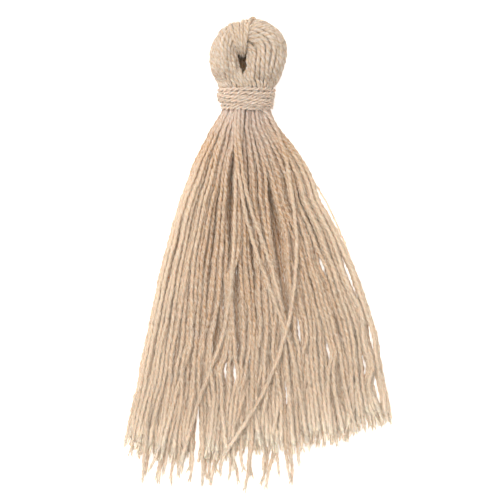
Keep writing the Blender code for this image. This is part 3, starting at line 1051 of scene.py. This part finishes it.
last_row = np.argmin(np.abs(STATIONS - CUT_DROP))
across_end = (spots[last_row, :STRANDS, 0] - middle[last_row]) / half_width[last_row]
cut_line, longest = (
    np.interp(across_end, [cut.across for cut in CUTS], [getattr(cut, name) for cut in CUTS])
    for name in ("line", "longest")
)
draw = (index * math.sqrt(2)) % 1
missed = draw < MISSED
hangs_out = (longest - cut_line) * (LEAST_HANGING + (1 - LEAST_HANGING) * draw / MISSED)
off_the_line = UNEVEN_CUT * ((draw - MISSED) / (1 - MISSED) - CUT_SHORT)
lengths = cut_line + np.where(missed, hangs_out, off_the_line)
print(f"strands from {lengths.min():.1f} to {lengths.max():.1f} mm, {missed.sum()} missed")

# %% [markdown]
# ### How each strand looks
#
# The yarn is paler all down the skirt's two edges, where the pile is thin and light comes
# through. Strands on top are painted lighter, and those deep in the pile darker and warmer:
# painted light and shade for how high each lies, which sets most of a strand's own tint. At a
# cut end nothing holds the twist, and the plies come apart, further up in the thick of the
# skirt than on a thin strand that hangs out below.

# %% Each strand's own look
OPEN_LENGTHS = (3.0, 1.2)  # how far up from the cut the plies have come apart, and if missed
CUT_SHARE = 1.08  # how thick a strand is at its end, as a share
MISSED_SHARE = 0.64  # the same for one that hangs out
EDGE_PALENESS = 0.6
EDGE_FROM = 0.55  # how far out from the middle the pale edges start
PAINTED_BY_HEIGHT = 0.7  # how much of a strand's tint comes from how high it lies
PILE_FROM = 10  # the drop from which how high it lies is counted
STRAY_PAINTED_LIGHT = {True: 0.9, False: 0.6}  # on top of the pile, and on the table

all_lengths = np.concatenate([lengths, [stray.length for stray in STRAYS]])
shares = np.concatenate([np.ones(STRANDS), [stray.share for stray in STRAYS]])
at_edge = EDGE_PALENESS * np.interp(np.abs(across_end), (EDGE_FROM, 1.0), (0.0, 1.0))
pale = np.concatenate([at_edge, [stray.pale for stray in STRAYS]])
lies_at = spots[:, :STRANDS, 1] / (room * crown + radius)
# Strands that lie higher get a lighter tint, and deeper ones a darker, warmer one: painted light
# and shade by height.
by_height = np.argsort(np.argsort(lies_at[STATIONS > PILE_FROM].mean(axis=0))) / STRANDS
painted_light_by_height = np.concatenate([by_height, [STRAY_PAINTED_LIGHT[stray.on_top] for stray in STRAYS]])
tints = PAINTED_BY_HEIGHT * painted_light_by_height + (1 - PAINTED_BY_HEIGHT) * rng.uniform(0, 1, len(painted_light_by_height))
hangs = np.concatenate([missed, np.zeros(len(STRAYS), bool)])
open_lengths = np.where(hangs, OPEN_LENGTHS[1], OPEN_LENGTHS[0])
end_shares = np.where(hangs, MISSED_SHARE, CUT_SHARE)
print(f"{len(tints)} strands tinted from {tints.min():.2f} to {tints.max():.2f}")

# %% [markdown]
# ### Strands as yarn
#
# Each settled strand is read at a ring every 0.3 mm or so, down to its own length. It is
# painted paler towards its end, as painted light, and just below the binding greyer and
# darker, partly for its tone there and partly as painted shade.

# %% Rings down each strand
SKIRT_RINGS = 200
STOPS_SHORT = 0.5  # how far up its opened length a twisted strand stops, as a share
FULL_SPACING = 0.70  # strands this far apart are as thick as loose yarn
SWELLS_OVER = (1.5, 5.5)  # above its end, where a strand goes over to its end's thickness
# Paler towards its end: painted light, for the light that gets through the thin, opened ends.
PALE_FROM = (0.0, 3.0, 9.0, 28.0)  # how far above its end a yarn is paler, and how much
PALE_BY = (0.9, 0.65, 0.33, 0.0)
# Greyer and darker just below the binding: partly the yarn's pinker tone there, partly painted
# shade where the high root catches the most light.
ROOT_SHADE = 0.4  # how much greyer the strands are at the binding
ROOT_SHADE_DOWN_TO = 12.0


def read_strand(number, drops):
    """A strand's line at these drops, and how thick the yarn is there."""
    side_and_height = smooth(STATIONS, spots[:, number], drops)
    line = np.stack([side_and_height[:, 0], NECK_END_Y - drops, side_and_height[:, 1]], axis=1)
    thickness = YARN * np.minimum(smooth(STATIONS, spacing, drops) / FULL_SPACING, 1.0)
    return line, thickness * shares[number]


def strand_path(number):
    """The line, thickness and paleness of a strand, down to where its plies come apart."""
    end = all_lengths[number] - STOPS_SHORT * open_lengths[number]
    drops = np.linspace(STATIONS[0], end, SKIRT_RINGS)
    line, thickness = read_strand(number, drops)
    thickness = thickness * np.interp(end - drops, SWELLS_OVER, (end_shares[number], 1.0))
    paleness = np.maximum(np.interp(end - drops, PALE_FROM, PALE_BY), pale[number])
    # painted shade just below the binding, and painted light towards the end
    pressed = np.interp(drops, (0.0, ROOT_SHADE_DOWN_TO), (1.0, 0.0))
    return line, thickness, paleness * (1 - pressed) - ROOT_SHADE * pressed


ring_gap = (lengths.mean() - STATIONS[0]) / (SKIRT_RINGS - 1)
print(f"a ring every {ring_gap:.2f} mm")

# %% [markdown]
# Where the plies have come apart, the yarn stops and two thinner ends carry on from inside
# it and drift away from each other.

# %% Opened ends
PLY = 0.42
PLY_RINGS = 11
PLY_RISE = 0.5  # plies part less upwards than sideways, by this share
PLY_SHORTER = (0.0, 0.4)  # how much shorter one is, as a share of the opened length
PLY_ASIDE_AT_START = 0.12
PLY_DRIFTS = (0.05, 0.32)  # how much further aside a ply has drifted by its end
PLY_CURVE = 1.5  # above 1, most of the drift comes near the end
PLY_TAPER = 0.2
# The plies are painted paler, as painted light for the light that gets through them.
PLY_PALENESS, PALER_AT_END = 0.8, 0.2


def ply_ends(number):
    """The two plies of a cut end, one a little shorter than the other."""
    length = all_lengths[number]
    turn = rng.uniform(0, math.tau)
    away = np.array((math.cos(turn), 0.0, PLY_RISE * math.sin(turn)))
    for sign in (-1, 1):
        end = length - rng.uniform(*PLY_SHORTER) * open_lengths[number] * (sign > 0)
        drops = np.linspace(length - open_lengths[number], end, PLY_RINGS)
        line, _ = read_strand(number, drops)
        share = np.linspace(0, 1, PLY_RINGS)[:, None]
        drift = PLY_ASIDE_AT_START + rng.uniform(*PLY_DRIFTS) * share**PLY_CURVE
        thickness = PLY * end_shares[number] * (1 - PLY_TAPER * share[:, 0])
        paleness = PLY_PALENESS + PALER_AT_END * share[:, 0]
        yield line + sign * away * drift, thickness, paleness


print(f"each opened end has two plies, {PLY} mm thick")

# %% [markdown]
# The strands go into four objects, from the left to the right, so that none of them gets too
# heavy to handle.

# %% Build the skirt
def skirt_batches(numbers):
    """The strands with these numbers, and their opened ends."""
    strands = zip(*(strand_path(number) for number in numbers))
    plies = zip(*(ply for number in numbers for ply in ply_ends(number)))
    return [
        make_batch(*map(np.stack, strands), tint=tints[numbers]),
        make_batch(*map(np.stack, plies), tint=np.repeat(tints[numbers], 2)),
    ]


order = np.argsort(spots[len(STATIONS) // 2, :, 0])
skirt_names = ("skirt_left", "skirt_mid_left", "skirt_mid_right", "skirt_right")
quarters = np.array_split(order, len(skirt_names))
skirt_yarns = [skirt_batches(quarter) for quarter in quarters]
skirt = [
    yarn_piece(name, batches, skirt_finish)
    for name, batches in zip(skirt_names, skirt_yarns)
]

# %% [markdown]
# The down goes on piece by piece as well, and much more of it at the opened ends, where the
# plies fray.

# %% Fray the skirt
DOWN = 7.0  # fibres on each millimetre of yarn
DOWN_TOWARDS_END = 2.1  # above 1, the fibres crowd towards the cut ends
FRAY = 6.0

skirt_down = []
for name, (strands, plies) in zip(skirt_names, skirt_yarns):
    down = fibre_piece(name + "_down", [strands], DOWN, loose_finish, DOWN_TOWARDS_END)
    frayed = fibre_piece(name + "_fray", [plies], FRAY, loose_finish)
    skirt_down += [down, frayed]

# %% [markdown]
# ## The head
#
# The head is the middle of the hank, folded in two. Every yarn leaves the tie on top, swings
# round and runs down into the neck, so the head is a bundle that turns about the gap under
# the fold. The table cuts that bundle across at eighteen places, from the right side of the
# neck, over the top, to the left. Each row gives the places of the bundle's inner and outer
# side, half its depth from front to back, and how round it is: at the neck it is a half
# disc.

# %% Sections of the hank
HANK = np.array((
    (-2.45, 29.40, 3.35, 28.40, 4.6, 0.0),
    (-2.45, 30.30, 3.95, 29.60, 5.2, 0.6),
    (-2.45, 31.00, 4.45, 31.00, 5.5, 1.0),
    (-2.45, 31.60, 4.78, 32.40, 5.7, 1.0),
    (-2.40, 32.10, 4.90, 33.80, 5.7, 1.0),
    (-2.30, 32.50, 4.65, 35.40, 5.7, 1.0),
    (-2.20, 32.90, 3.90, 36.95, 5.6, 1.0),
    (-2.15, 33.20, 2.20, 38.20, 5.5, 1.0),
    (-2.10, 33.40, -0.05, 38.95, 5.3, 1.0),
    (-2.15, 33.55, -1.20, 38.60, 4.6, 1.0),
    (-3.05, 33.55, -4.50, 37.75, 4.6, 1.0),
    (-3.00, 33.40, -5.30, 37.95, 5.2, 1.0),
    (-3.00, 33.10, -6.65, 36.55, 5.5, 1.0),
    (-2.95, 32.70, -7.55, 34.95, 5.6, 1.0),
    (-2.85, 32.10, -7.98, 33.20, 5.6, 1.0),
    (-2.70, 31.40, -8.00, 31.60, 5.5, 1.0),
    (-2.55, 30.50, -7.60, 29.90, 5.2, 0.6),
    (-2.45, 29.40, -6.90, 28.40, 4.6, 0.0),
))
WAIST_RIGHT, WAIST_LEFT = HANK[9], HANK[10]  # on both sides of the tie
print(f"hank: {len(HANK)} sections")

# %% [markdown]
# Every yarn of the head, and the tie round it, is laid on this bundle. So a helper turns a
# place round a section into a point. It blends two outlines: an oval, a little fuller than
# an ellipse, for the head itself, and a half disc where the bundle squeezes into the neck.

# %% Points round the hank
HEAD_Z = 5.35  # the middle of the head above the table
CORNER = math.radians(155)  # how far round an oval, each way, its two innermost yarns are
FULLNESS = 0.8  # 1 would be an ellipse, and less is fuller


def hank_spot(sections, place, grow):
    """Points of the hank's surface, moved outwards by grow. place is 0 in front at the inner
    side, 1 behind it, and the outside of the fold is at 0.5."""
    inner, outer = sections[..., 0:2], sections[..., 2:4]
    half_depth, rounded = sections[..., 4], sections[..., 5]
    reach = np.linalg.norm(outer - inner, axis=-1)
    outward = (outer - inner) / reach[..., None]
    turn = CORNER * (1 - 2 * place)
    half_turn = turn * math.radians(90) / CORNER
    depth = half_depth + grow
    disc = np.stack([(reach + grow) * np.cos(half_turn), depth * np.sin(half_turn)], axis=-1)
    full = np.sign(turn) * np.abs(np.sin(turn)) ** FULLNESS
    oval = np.stack([reach / 2 + (reach / 2 + grow) * np.cos(turn), depth * full], axis=-1)
    spot = disc + (oval - disc) * rounded[..., None]
    flat = inner + outward * spot[..., :1]
    return np.concatenate([flat, HEAD_Z + spot[..., 1:]], axis=-1)


left_side = hank_spot(HANK[[14]], np.array([0.5]), 0.0)[0]
right_side = hank_spot(HANK[[4]], np.array([0.5]), 0.0)[0]
print(f"head {right_side[0] - left_side[0]:.1f} mm wide before its yarns are laid")

# %% [markdown]
# The yarns lie in layers, 25 round the outside of each half and fewer in each layer below,
# 72 in all, as many as the loops that the 144 ends come from. The sections are deeper than
# they are wide, so equal angles would crowd the yarns in front. Equal distances don't.

# %% Layers of the head
LAYERS = ((25, 0.0), (21, 0.70), (16, 1.40), (10, 2.10))  # yarns, and how deep they lie
WIDEST = HANK[4:5]
RIM_POINTS = 400


def even_places(count):
    """Places round the hank's outer side that are equally far apart."""
    fine = np.linspace(0, 1, RIM_POINTS)
    rim = hank_spot(np.repeat(WIDEST, len(fine), axis=0), fine, 0.0)
    run = np.concatenate([[0], np.cumsum(np.linalg.norm(np.diff(rim, axis=0), axis=1))])
    wanted = (np.arange(count) + 0.5) / count
    return np.interp(wanted, run / run[-1], fine)


print(f"{sum(count for count, _ in LAYERS)} yarns in each half of the head")

# %% [markdown]
# Below the last section the yarns close in on the neck, where the binding squeezes them
# thinner. The left half was pulled down hard when it was tied, which turned its yarns round a
# little where they leave the tie: those in front come over the top. No yarn lies quite where
# it should, so each is lifted and shifted by smooth random numbers of its own.

# %% Path of one yarn
HEAD_YARN = 0.94
HEAD_RINGS = 64
NECK_HEIGHTS = (23.5, 24.0, 24.8, 25.5, 26.3, 27.3, 28.0)
NECK_RADII = (3.35, 3.42, 3.60, 3.86, 4.05, 4.18, 4.70)
THROAT_HEIGHTS = (28.0, 27.3, 26.3, 25.0)  # the places that a yarn goes through in the neck
THROAT_SINK = 0.28
DEEPEST = 3.4  # a layer this deep would run down the very middle of the neck
SQUEEZED = ((26.5, 28.2, 30.5), (0.62, 0.76, 1.0))  # heights, and how thick yarn is there
LET_GO = 3.5  # in how many sections a yarn that starts turned round has turned back
UNEVEN_LIFT = 0.11
UNEVEN_PLACE = 0.006
UNEVEN_WAVES = (4.0, 9.0)  # in sections
LAYER_LIFT = 0.08  # how much higher or lower than its layer a whole yarn may lie


def uneven(count, size):
    """Smooth random numbers for the sections that one yarn goes through."""
    fold = np.arange(count, dtype=float)
    return size * random_waves(fold[None], UNEVEN_WAVES)[0]


def head_path(sections, side, place, depth, turned):
    """One yarn from the tie to the neck, through the sections in order."""
    count = len(sections)
    lift = uneven(count, UNEVEN_LIFT) + rng.uniform(-LAYER_LIFT, LAYER_LIFT)
    let_go = np.clip(1 - np.arange(count) / LET_GO, 0, 1)
    places = place + turned * math.sin(math.pi * place) * let_go + uneven(count, UNEVEN_PLACE)
    bend = hank_spot(sections, places, lift - HEAD_YARN / 2 - depth)
    angle = math.pi * (0.5 - place)
    radii = np.interp(THROAT_HEIGHTS, NECK_HEIGHTS, NECK_RADII)
    tight = (radii - THROAT_SINK) * (1 - depth / DEEPEST)
    neck_x = NECK_X + side * tight * math.cos(angle)
    neck_z = NECK_Z + tight * math.sin(angle)
    throat = np.stack([neck_x, THROAT_HEIGHTS, neck_z], axis=1)
    path = through_points(np.concatenate([bend, throat]), HEAD_RINGS)
    return path, np.interp(path[:, 1], *SQUEEZED)


print(f"the neck squeezes yarn to {SQUEEZED[1][0]:.0%} of its thickness")

# %% [markdown]
# Each half is a batch of its own: the right one starts at the tie and runs back through the
# sections, and the left one runs on through the rest.

# %% Yarns of the head
LEFT_TURNED = 0.22  # how far round the yarns of the left half are turned, as a step in place
HEAD_TINTS = (0.4, 1)  # of all the yarn's shades, the head has the paler ones
CROWDING = 0.2  # how far a yarn may be from its even place, as a share of the space for it


def head_half(sections, side, turned):
    """A batch with all the yarns of one half, from its outer layer to its inner one."""
    paths, thicknesses = [], []
    for count, depth in LAYERS:
        for place in even_places(count):
            place = np.clip(place + rng.uniform(-CROWDING, CROWDING) / count, 0.0, 1.0)
            path, squeeze = head_path(sections, side, place, depth, turned)
            paths.append(path)
            thicknesses.append(HEAD_YARN * squeeze)
    tints_of_half = rng.uniform(*HEAD_TINTS, len(paths))
    return make_batch(paths, np.stack(thicknesses), tint=tints_of_half)


right_half = head_half(HANK[9::-1], 1, 0.0)
left_half = head_half(HANK[10:], -1, LEFT_TURNED)
head_right = yarn_piece("head_right", [right_half], head_finish)
head_left = yarn_piece("head_left", [left_half], head_finish)

# %% [markdown]
# The gap under the fold isn't empty. Yarns from the inner sides of both halves sag into it
# and close it from behind. Their finish is painted dark, as painted shade, so that it looks
# like a deep, dark fold.

# %% Yarns inside the gap
GAP_LEVELS = np.arange(0.8, 3.4, 0.6)  # their heights above the table
GAP_YARN = 0.78
GAP_RINGS = 34
SAG = 0.2  # how much higher or lower they hang in the middle


def sagging_yarn(side, height):
    """From inside one half of the head, round under the tie and down the middle of the gap."""
    middle = -2.5 + 0.5 * side
    points = (
        (middle + side * 1.4, 34.6, height),
        (middle + side * 0.6, 33.6, height),
        (middle + side * 0.1, 32.6, height + rng.uniform(-SAG, SAG)),
        (middle, 31.2, height + rng.uniform(-SAG, SAG)),
        (middle - side * 0.2, 29.4, height),
        (NECK_X + side * 0.4, 28.0, 0.5 * (height + NECK_Z)),
        (NECK_X + side * 0.4, 26.4, 0.3 * height + 0.7 * NECK_Z),
    )
    return through_points(points, GAP_RINGS)


sagging = [sagging_yarn(side, height) for height in GAP_LEVELS for side in (-1, 0, 1)]
gap_batch = make_batch(sagging, GAP_YARN)
head_inside = yarn_piece("head_inside", [gap_batch], gap_shade_finish)

# %% [markdown]
# ## The crown tie
#
# One yarn goes six times round the middle of the hank, over the crown and back through the
# gap. Over the crown the turns lie side by side. In the gap they have no room to, and pile up.
# Its two ends are knotted on the crown and cut short.

# %% Wind the crown tie
TIE_TURNS = 6
TIE_RINGS = 100 * TIE_TURNS
TIE_YARN = 0.72
TIE_PILE = (0.0, 0.35, 0.0, 0.4, 0.05, 0.35, 0.0)  # how far each turn is lifted in the gap
TIE_OVERSHOOT = 0.02  # how far the outermost turns lie past the waist, as a share of it
TIE_SLIP, SLIPS = 0.02, 1.37  # how unevenly turns lie side by side, and how often in a turn
TIE_SLACK, SLACKS = 0.06, 0.61  # the same for how they lie on the hank


def round_the_waist(angle, share, grow):
    """A spot round the tied middle. angle is 0 on the crown and half a turn in the gap."""
    section = WAIST_RIGHT + (WAIST_LEFT - WAIST_RIGHT) * share[:, None]
    return hank_spot(section, 0.5 - angle / (2 * CORNER), grow)


wound = np.linspace(-math.pi, math.tau * TIE_TURNS - math.pi, TIE_RINGS)
turn_number = wound / math.tau  # a whole number on the crown, and a half in the gap
angle = (wound + math.pi) % math.tau - math.pi
in_gap = np.clip(-np.cos(angle), 0, 1)
pile = np.interp(turn_number, np.arange(TIE_TURNS + 1) - 0.5, TIE_PILE)
share = np.clip(turn_number / (TIE_TURNS - 1), -TIE_OVERSHOOT, 1 + TIE_OVERSHOOT)
share = share + TIE_SLIP * np.sin(wound * SLIPS)
grow = TIE_YARN / 2 + pile * in_gap + TIE_SLACK * np.sin(wound * SLACKS)
tie_path = through_points(round_the_waist(angle, share, grow), TIE_RINGS)
print(f"tie: {TIE_TURNS} turns, {length_along(tie_path[None])[0, -1]:.0f} mm of yarn")

# %% [markdown]
# The knot is a small overhand one: the yarn goes once round itself. One end is cut close to
# it and the other lies on the crown, pointing to the right.

# %% Knot the crown tie
WINDING_TINT = (0.75,)  # one yarn, so one shade
KNOT = np.array((-0.75, 38.85, 6.6))
KNOT_SIZE = 0.36
KNOT_YARN = 0.6
KNOT_TURNS = 1.15
KNOT_RINGS = 26
KNOT_SQUASH = 0.9
TIE_END = (
    (-1.75, 37.0, 9.8), (-1.2, 37.6, 9.5), (-0.5, 38.1, 9.0), (0.25, 38.5, 8.35),
    (0.8, 38.75, 7.8),
)
END_RINGS = 16
END_YARN = (0.66, 0.4)  # from the knot to the cut
END_PALENESS = 0.8

knot_turn = np.linspace(0, math.tau * KNOT_TURNS, KNOT_RINGS)[:, None]
knot_rise = KNOT_SQUASH * np.sin(knot_turn * 0.5) - 0.2
knot_loop = [np.cos(knot_turn), np.sin(knot_turn) * KNOT_SQUASH, knot_rise]
knot_path = KNOT + KNOT_SIZE * np.concatenate(knot_loop, axis=1)
tie_end = through_points(TIE_END, END_RINGS)
end_thickness = np.linspace(*END_YARN, END_RINGS)
end_opened = np.linspace(0, END_PALENESS, END_RINGS)
tie_batches = [
    make_batch(tie_path[None], TIE_YARN, tint=WINDING_TINT),
    make_batch(knot_path[None], KNOT_YARN, tint=WINDING_TINT),
    make_batch(tie_end[None], end_thickness, end_opened, WINDING_TINT),
]
crown_tie = yarn_piece("crown_tie_yarn", tie_batches, tie_finish)

# %% [markdown]
# ## The neck binding
#
# Another yarn is wound round the neck and pulled tight. Hand winding is never quite level.
# The table says where the yarn is at each quarter turn, from the left side by way of the
# front: how far up the neck, and how far it is lifted by turns that it crosses. Near the end
# the yarn climbs back over the others behind and comes down across them in front, twice.

# %% Wind the neck binding
Quarter = namedtuple("Quarter", "height lift")
BINDING_QUARTERS = (
    Quarter(27.22, 0.00), Quarter(27.30, 0.00), Quarter(27.24, 0.00), Quarter(26.95, 0.00),
    Quarter(26.62, 0.00), Quarter(26.70, 0.00), Quarter(26.56, 0.00), Quarter(26.30, 0.00),
    Quarter(26.05, 0.00), Quarter(26.02, 0.00), Quarter(26.12, 0.00), Quarter(25.60, 0.00),
    Quarter(25.46, 0.00), Quarter(25.38, 0.00), Quarter(25.50, 0.00), Quarter(25.00, 0.00),
    Quarter(24.85, 0.00), Quarter(24.72, 0.00), Quarter(24.92, 0.05), Quarter(25.70, 0.35),
    Quarter(26.40, 0.20), Quarter(25.75, 0.40), Quarter(24.95, 0.15), Quarter(24.40, 0.05),
    Quarter(24.30, 0.00), Quarter(24.16, 0.00), Quarter(24.42, 0.10), Quarter(25.20, 0.30),
    Quarter(25.75, 0.15), Quarter(25.20, 0.35), Quarter(24.60, 0.15),
)
print(f"binding: {(len(BINDING_QUARTERS) - 1) / 4:.1f} turns")

# %% [markdown]
# The rings follow the table on a smooth line, at the neck's own radius and half a yarn
# further out. The end was tucked under the last turns, and shows as a short loop in front.

# %% Bind the neck
BINDING_YARN = 0.72
BINDING_RINGS = 900
BINDING_UNEVEN = 0.05
BINDING_WAVES = (3.0, 8.0)
QUARTER_RUN = 5.5  # length of yarn in a quarter turn, about
BINDING_CLEARANCE = 0.06  # between the neck and the binding
TUCKED_END = ((-0.9, 25.1, 9.35), (-0.2, 24.75, 9.25), (0.35, 24.35, 8.9), (0.6, 24.0, 8.35))
TUCKED_RINGS = 14
TUCKED_YARN = 0.62

quarter = np.arange(len(BINDING_QUARTERS))
read_at = np.linspace(0, quarter[-1], BINDING_RINGS)
height, lift = smooth(quarter, BINDING_QUARTERS, read_at).T
height = height + BINDING_UNEVEN * random_waves(read_at[None] * QUARTER_RUN, BINDING_WAVES)[0]
radii = np.interp(height, NECK_HEIGHTS, NECK_RADII)
around = radii + BINDING_CLEARANCE + BINDING_YARN / 2 + lift
wound = read_at * math.radians(90)
binding_path = np.stack(
    [NECK_X - around * np.cos(wound), height, NECK_Z + around * np.sin(wound)], axis=1
)
tucked = through_points(TUCKED_END, TUCKED_RINGS)
binding_batches = [
    two_plied(binding_path[None], BINDING_YARN, WINDING_TINT),
    two_plied(tucked[None], TUCKED_YARN, WINDING_TINT),
]
neck_binding = yarn_piece("neck_binding_yarn", binding_batches, binding_finish)

# %% [markdown]
# The head and its windings get their down too, but less of it, since handling and winding
# lay it flat.

# %% Fray the head
HEAD_DOWN = 3.0  # fibres on each millimetre of yarn
WINDING_DOWN = 3.5

windings = [*tie_batches, *binding_batches]
head_down = fibre_piece("head_down", [right_half, left_half], HEAD_DOWN, head_fibre)
winding_down = fibre_piece("winding_down", windings, WINDING_DOWN, head_fibre)

# %% [markdown]
# ## Taking the solids' places
#
# The yarn pieces stand for the three solids, which stay in the file for their weight and
# their touch but no longer show. The loose fibres stand for no solid. They only say which
# yarn they belong to.

# %% Replace the solids
for piece in (*skirt, head_right, head_left, head_inside):
    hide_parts("skein")
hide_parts("crown_tie")
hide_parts("neck_binding")
print("the yarn stands for the solids")

# %% [markdown]
# ## The table, the light and the camera
#
# The tassel lies on a plain white table. It glows a little, so that it stays an even white
# where the tassel's shadow would make it grey, as a lit table top does.

# %% White table
TABLE_REACH = 1.5  # metres from the middle to each side
TABLE_GLOW = 0.66

table_mesh = bpy.data.meshes.new("table")
corners = [(x * TABLE_REACH, y * TABLE_REACH, 0) for x, y in ((-1, -1), (1, -1), (1, 1), (-1, 1))]
table_mesh.from_pydata(corners, [], [(0, 1, 2, 3)])
table = bpy.data.objects.new("table", table_mesh)
bpy.context.scene.collection.objects.link(table)
table_finish = bpy.data.materials.new("white_table")
table_finish.use_nodes = True
table_shader = table_finish.node_tree.nodes["Principled BSDF"]
table_shader.inputs["Base Color"].default_value = (0.86, 0.83, 0.80, 1.0)
table_shader.inputs["Roughness"].default_value = 0.9
table_shader.inputs["Specular IOR Level"].default_value = 0.1
table_shader.inputs["Emission Color"].default_value = (1.0, 0.97, 0.94, 1.0)
table_shader.inputs["Emission Strength"].default_value = TABLE_GLOW
table_mesh.materials.append(table_finish)
table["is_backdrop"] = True
print(f"table {2 * TABLE_REACH:.0f} m wide")

# %% [markdown]
# A big soft lamp above and to the left gives broad light with gentle shade in the grooves. A
# smaller one, nearly overhead, and an even white sky fill in the rest.

# %% Soft light
SKY_STRENGTH = 0.46


def soft_lamp(name, place, size, power):
    """A square lamp at place, in metres, that faces the tassel."""
    lamp = bpy.data.lights.new(name, "AREA")
    lamp.size, lamp.energy = size, power
    holder = bpy.data.objects.new(name, lamp)
    holder.location = place
    aim = -holder.location
    holder.rotation_euler = aim.to_track_quat("-Z", "Y").to_euler()
    bpy.context.scene.collection.objects.link(holder)


soft_lamp("key", (-0.26, 0.20, 0.62), size=0.50, power=4.0)
soft_lamp("from_above", (0.03, 0.03, 0.78), size=0.25, power=2.2)
sky = bpy.data.worlds.new("sky")
sky.use_nodes = True
background = sky.node_tree.nodes["Background"]
background.inputs["Color"].default_value = (1.0, 1.0, 1.0, 1.0)
background.inputs["Strength"].default_value = SKY_STRENGTH
bpy.context.scene.world = sky
bpy.context.scene.view_settings.view_transform = "Standard"
print(f"{len(bpy.data.lights)} lamps and a sky")

# %% [markdown]
# The camera looks straight down from far away through a long lens, so that nothing is
# stretched towards the edges. The lens is worked out from how much of the table the frame
# should take in.

# %% Camera above
VIEW_WIDTH = 500 / 6 * MM  # a frame of 500 pixels, at six pixels to the millimetre
VIEW_HEIGHT = 0.70  # the camera above the table, in metres
VIEW_X, VIEW_Y = -1.25 * MM, 0.67 * MM
MID_HEIGHT = 4.0 * MM  # the height at which the frame is as wide as that

lens = bpy.data.cameras.new("camera")
lens.sensor_width = 36.0
lens.lens = lens.sensor_width * (VIEW_HEIGHT - MID_HEIGHT) / VIEW_WIDTH
lens.clip_start, lens.clip_end = 0.05, 10.0
camera = bpy.data.objects.new("camera", lens)
camera.location = (VIEW_X, VIEW_Y, VIEW_HEIGHT)
bpy.context.scene.collection.objects.link(camera)
bpy.context.scene.camera = camera
print(f"lens {lens.lens:.0f} mm")

# %% Boxes and finish
dressed_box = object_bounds()
boxes = {
    "cad": [list(corner) for corner in solid_box],
    "visual": [list(corner) for corner in dressed_box],
}
for label, (near, far) in boxes.items():
    print(label, " x ".join(f"{(b - a) / MM:.1f}" for a, b in zip(near, far)), "mm")
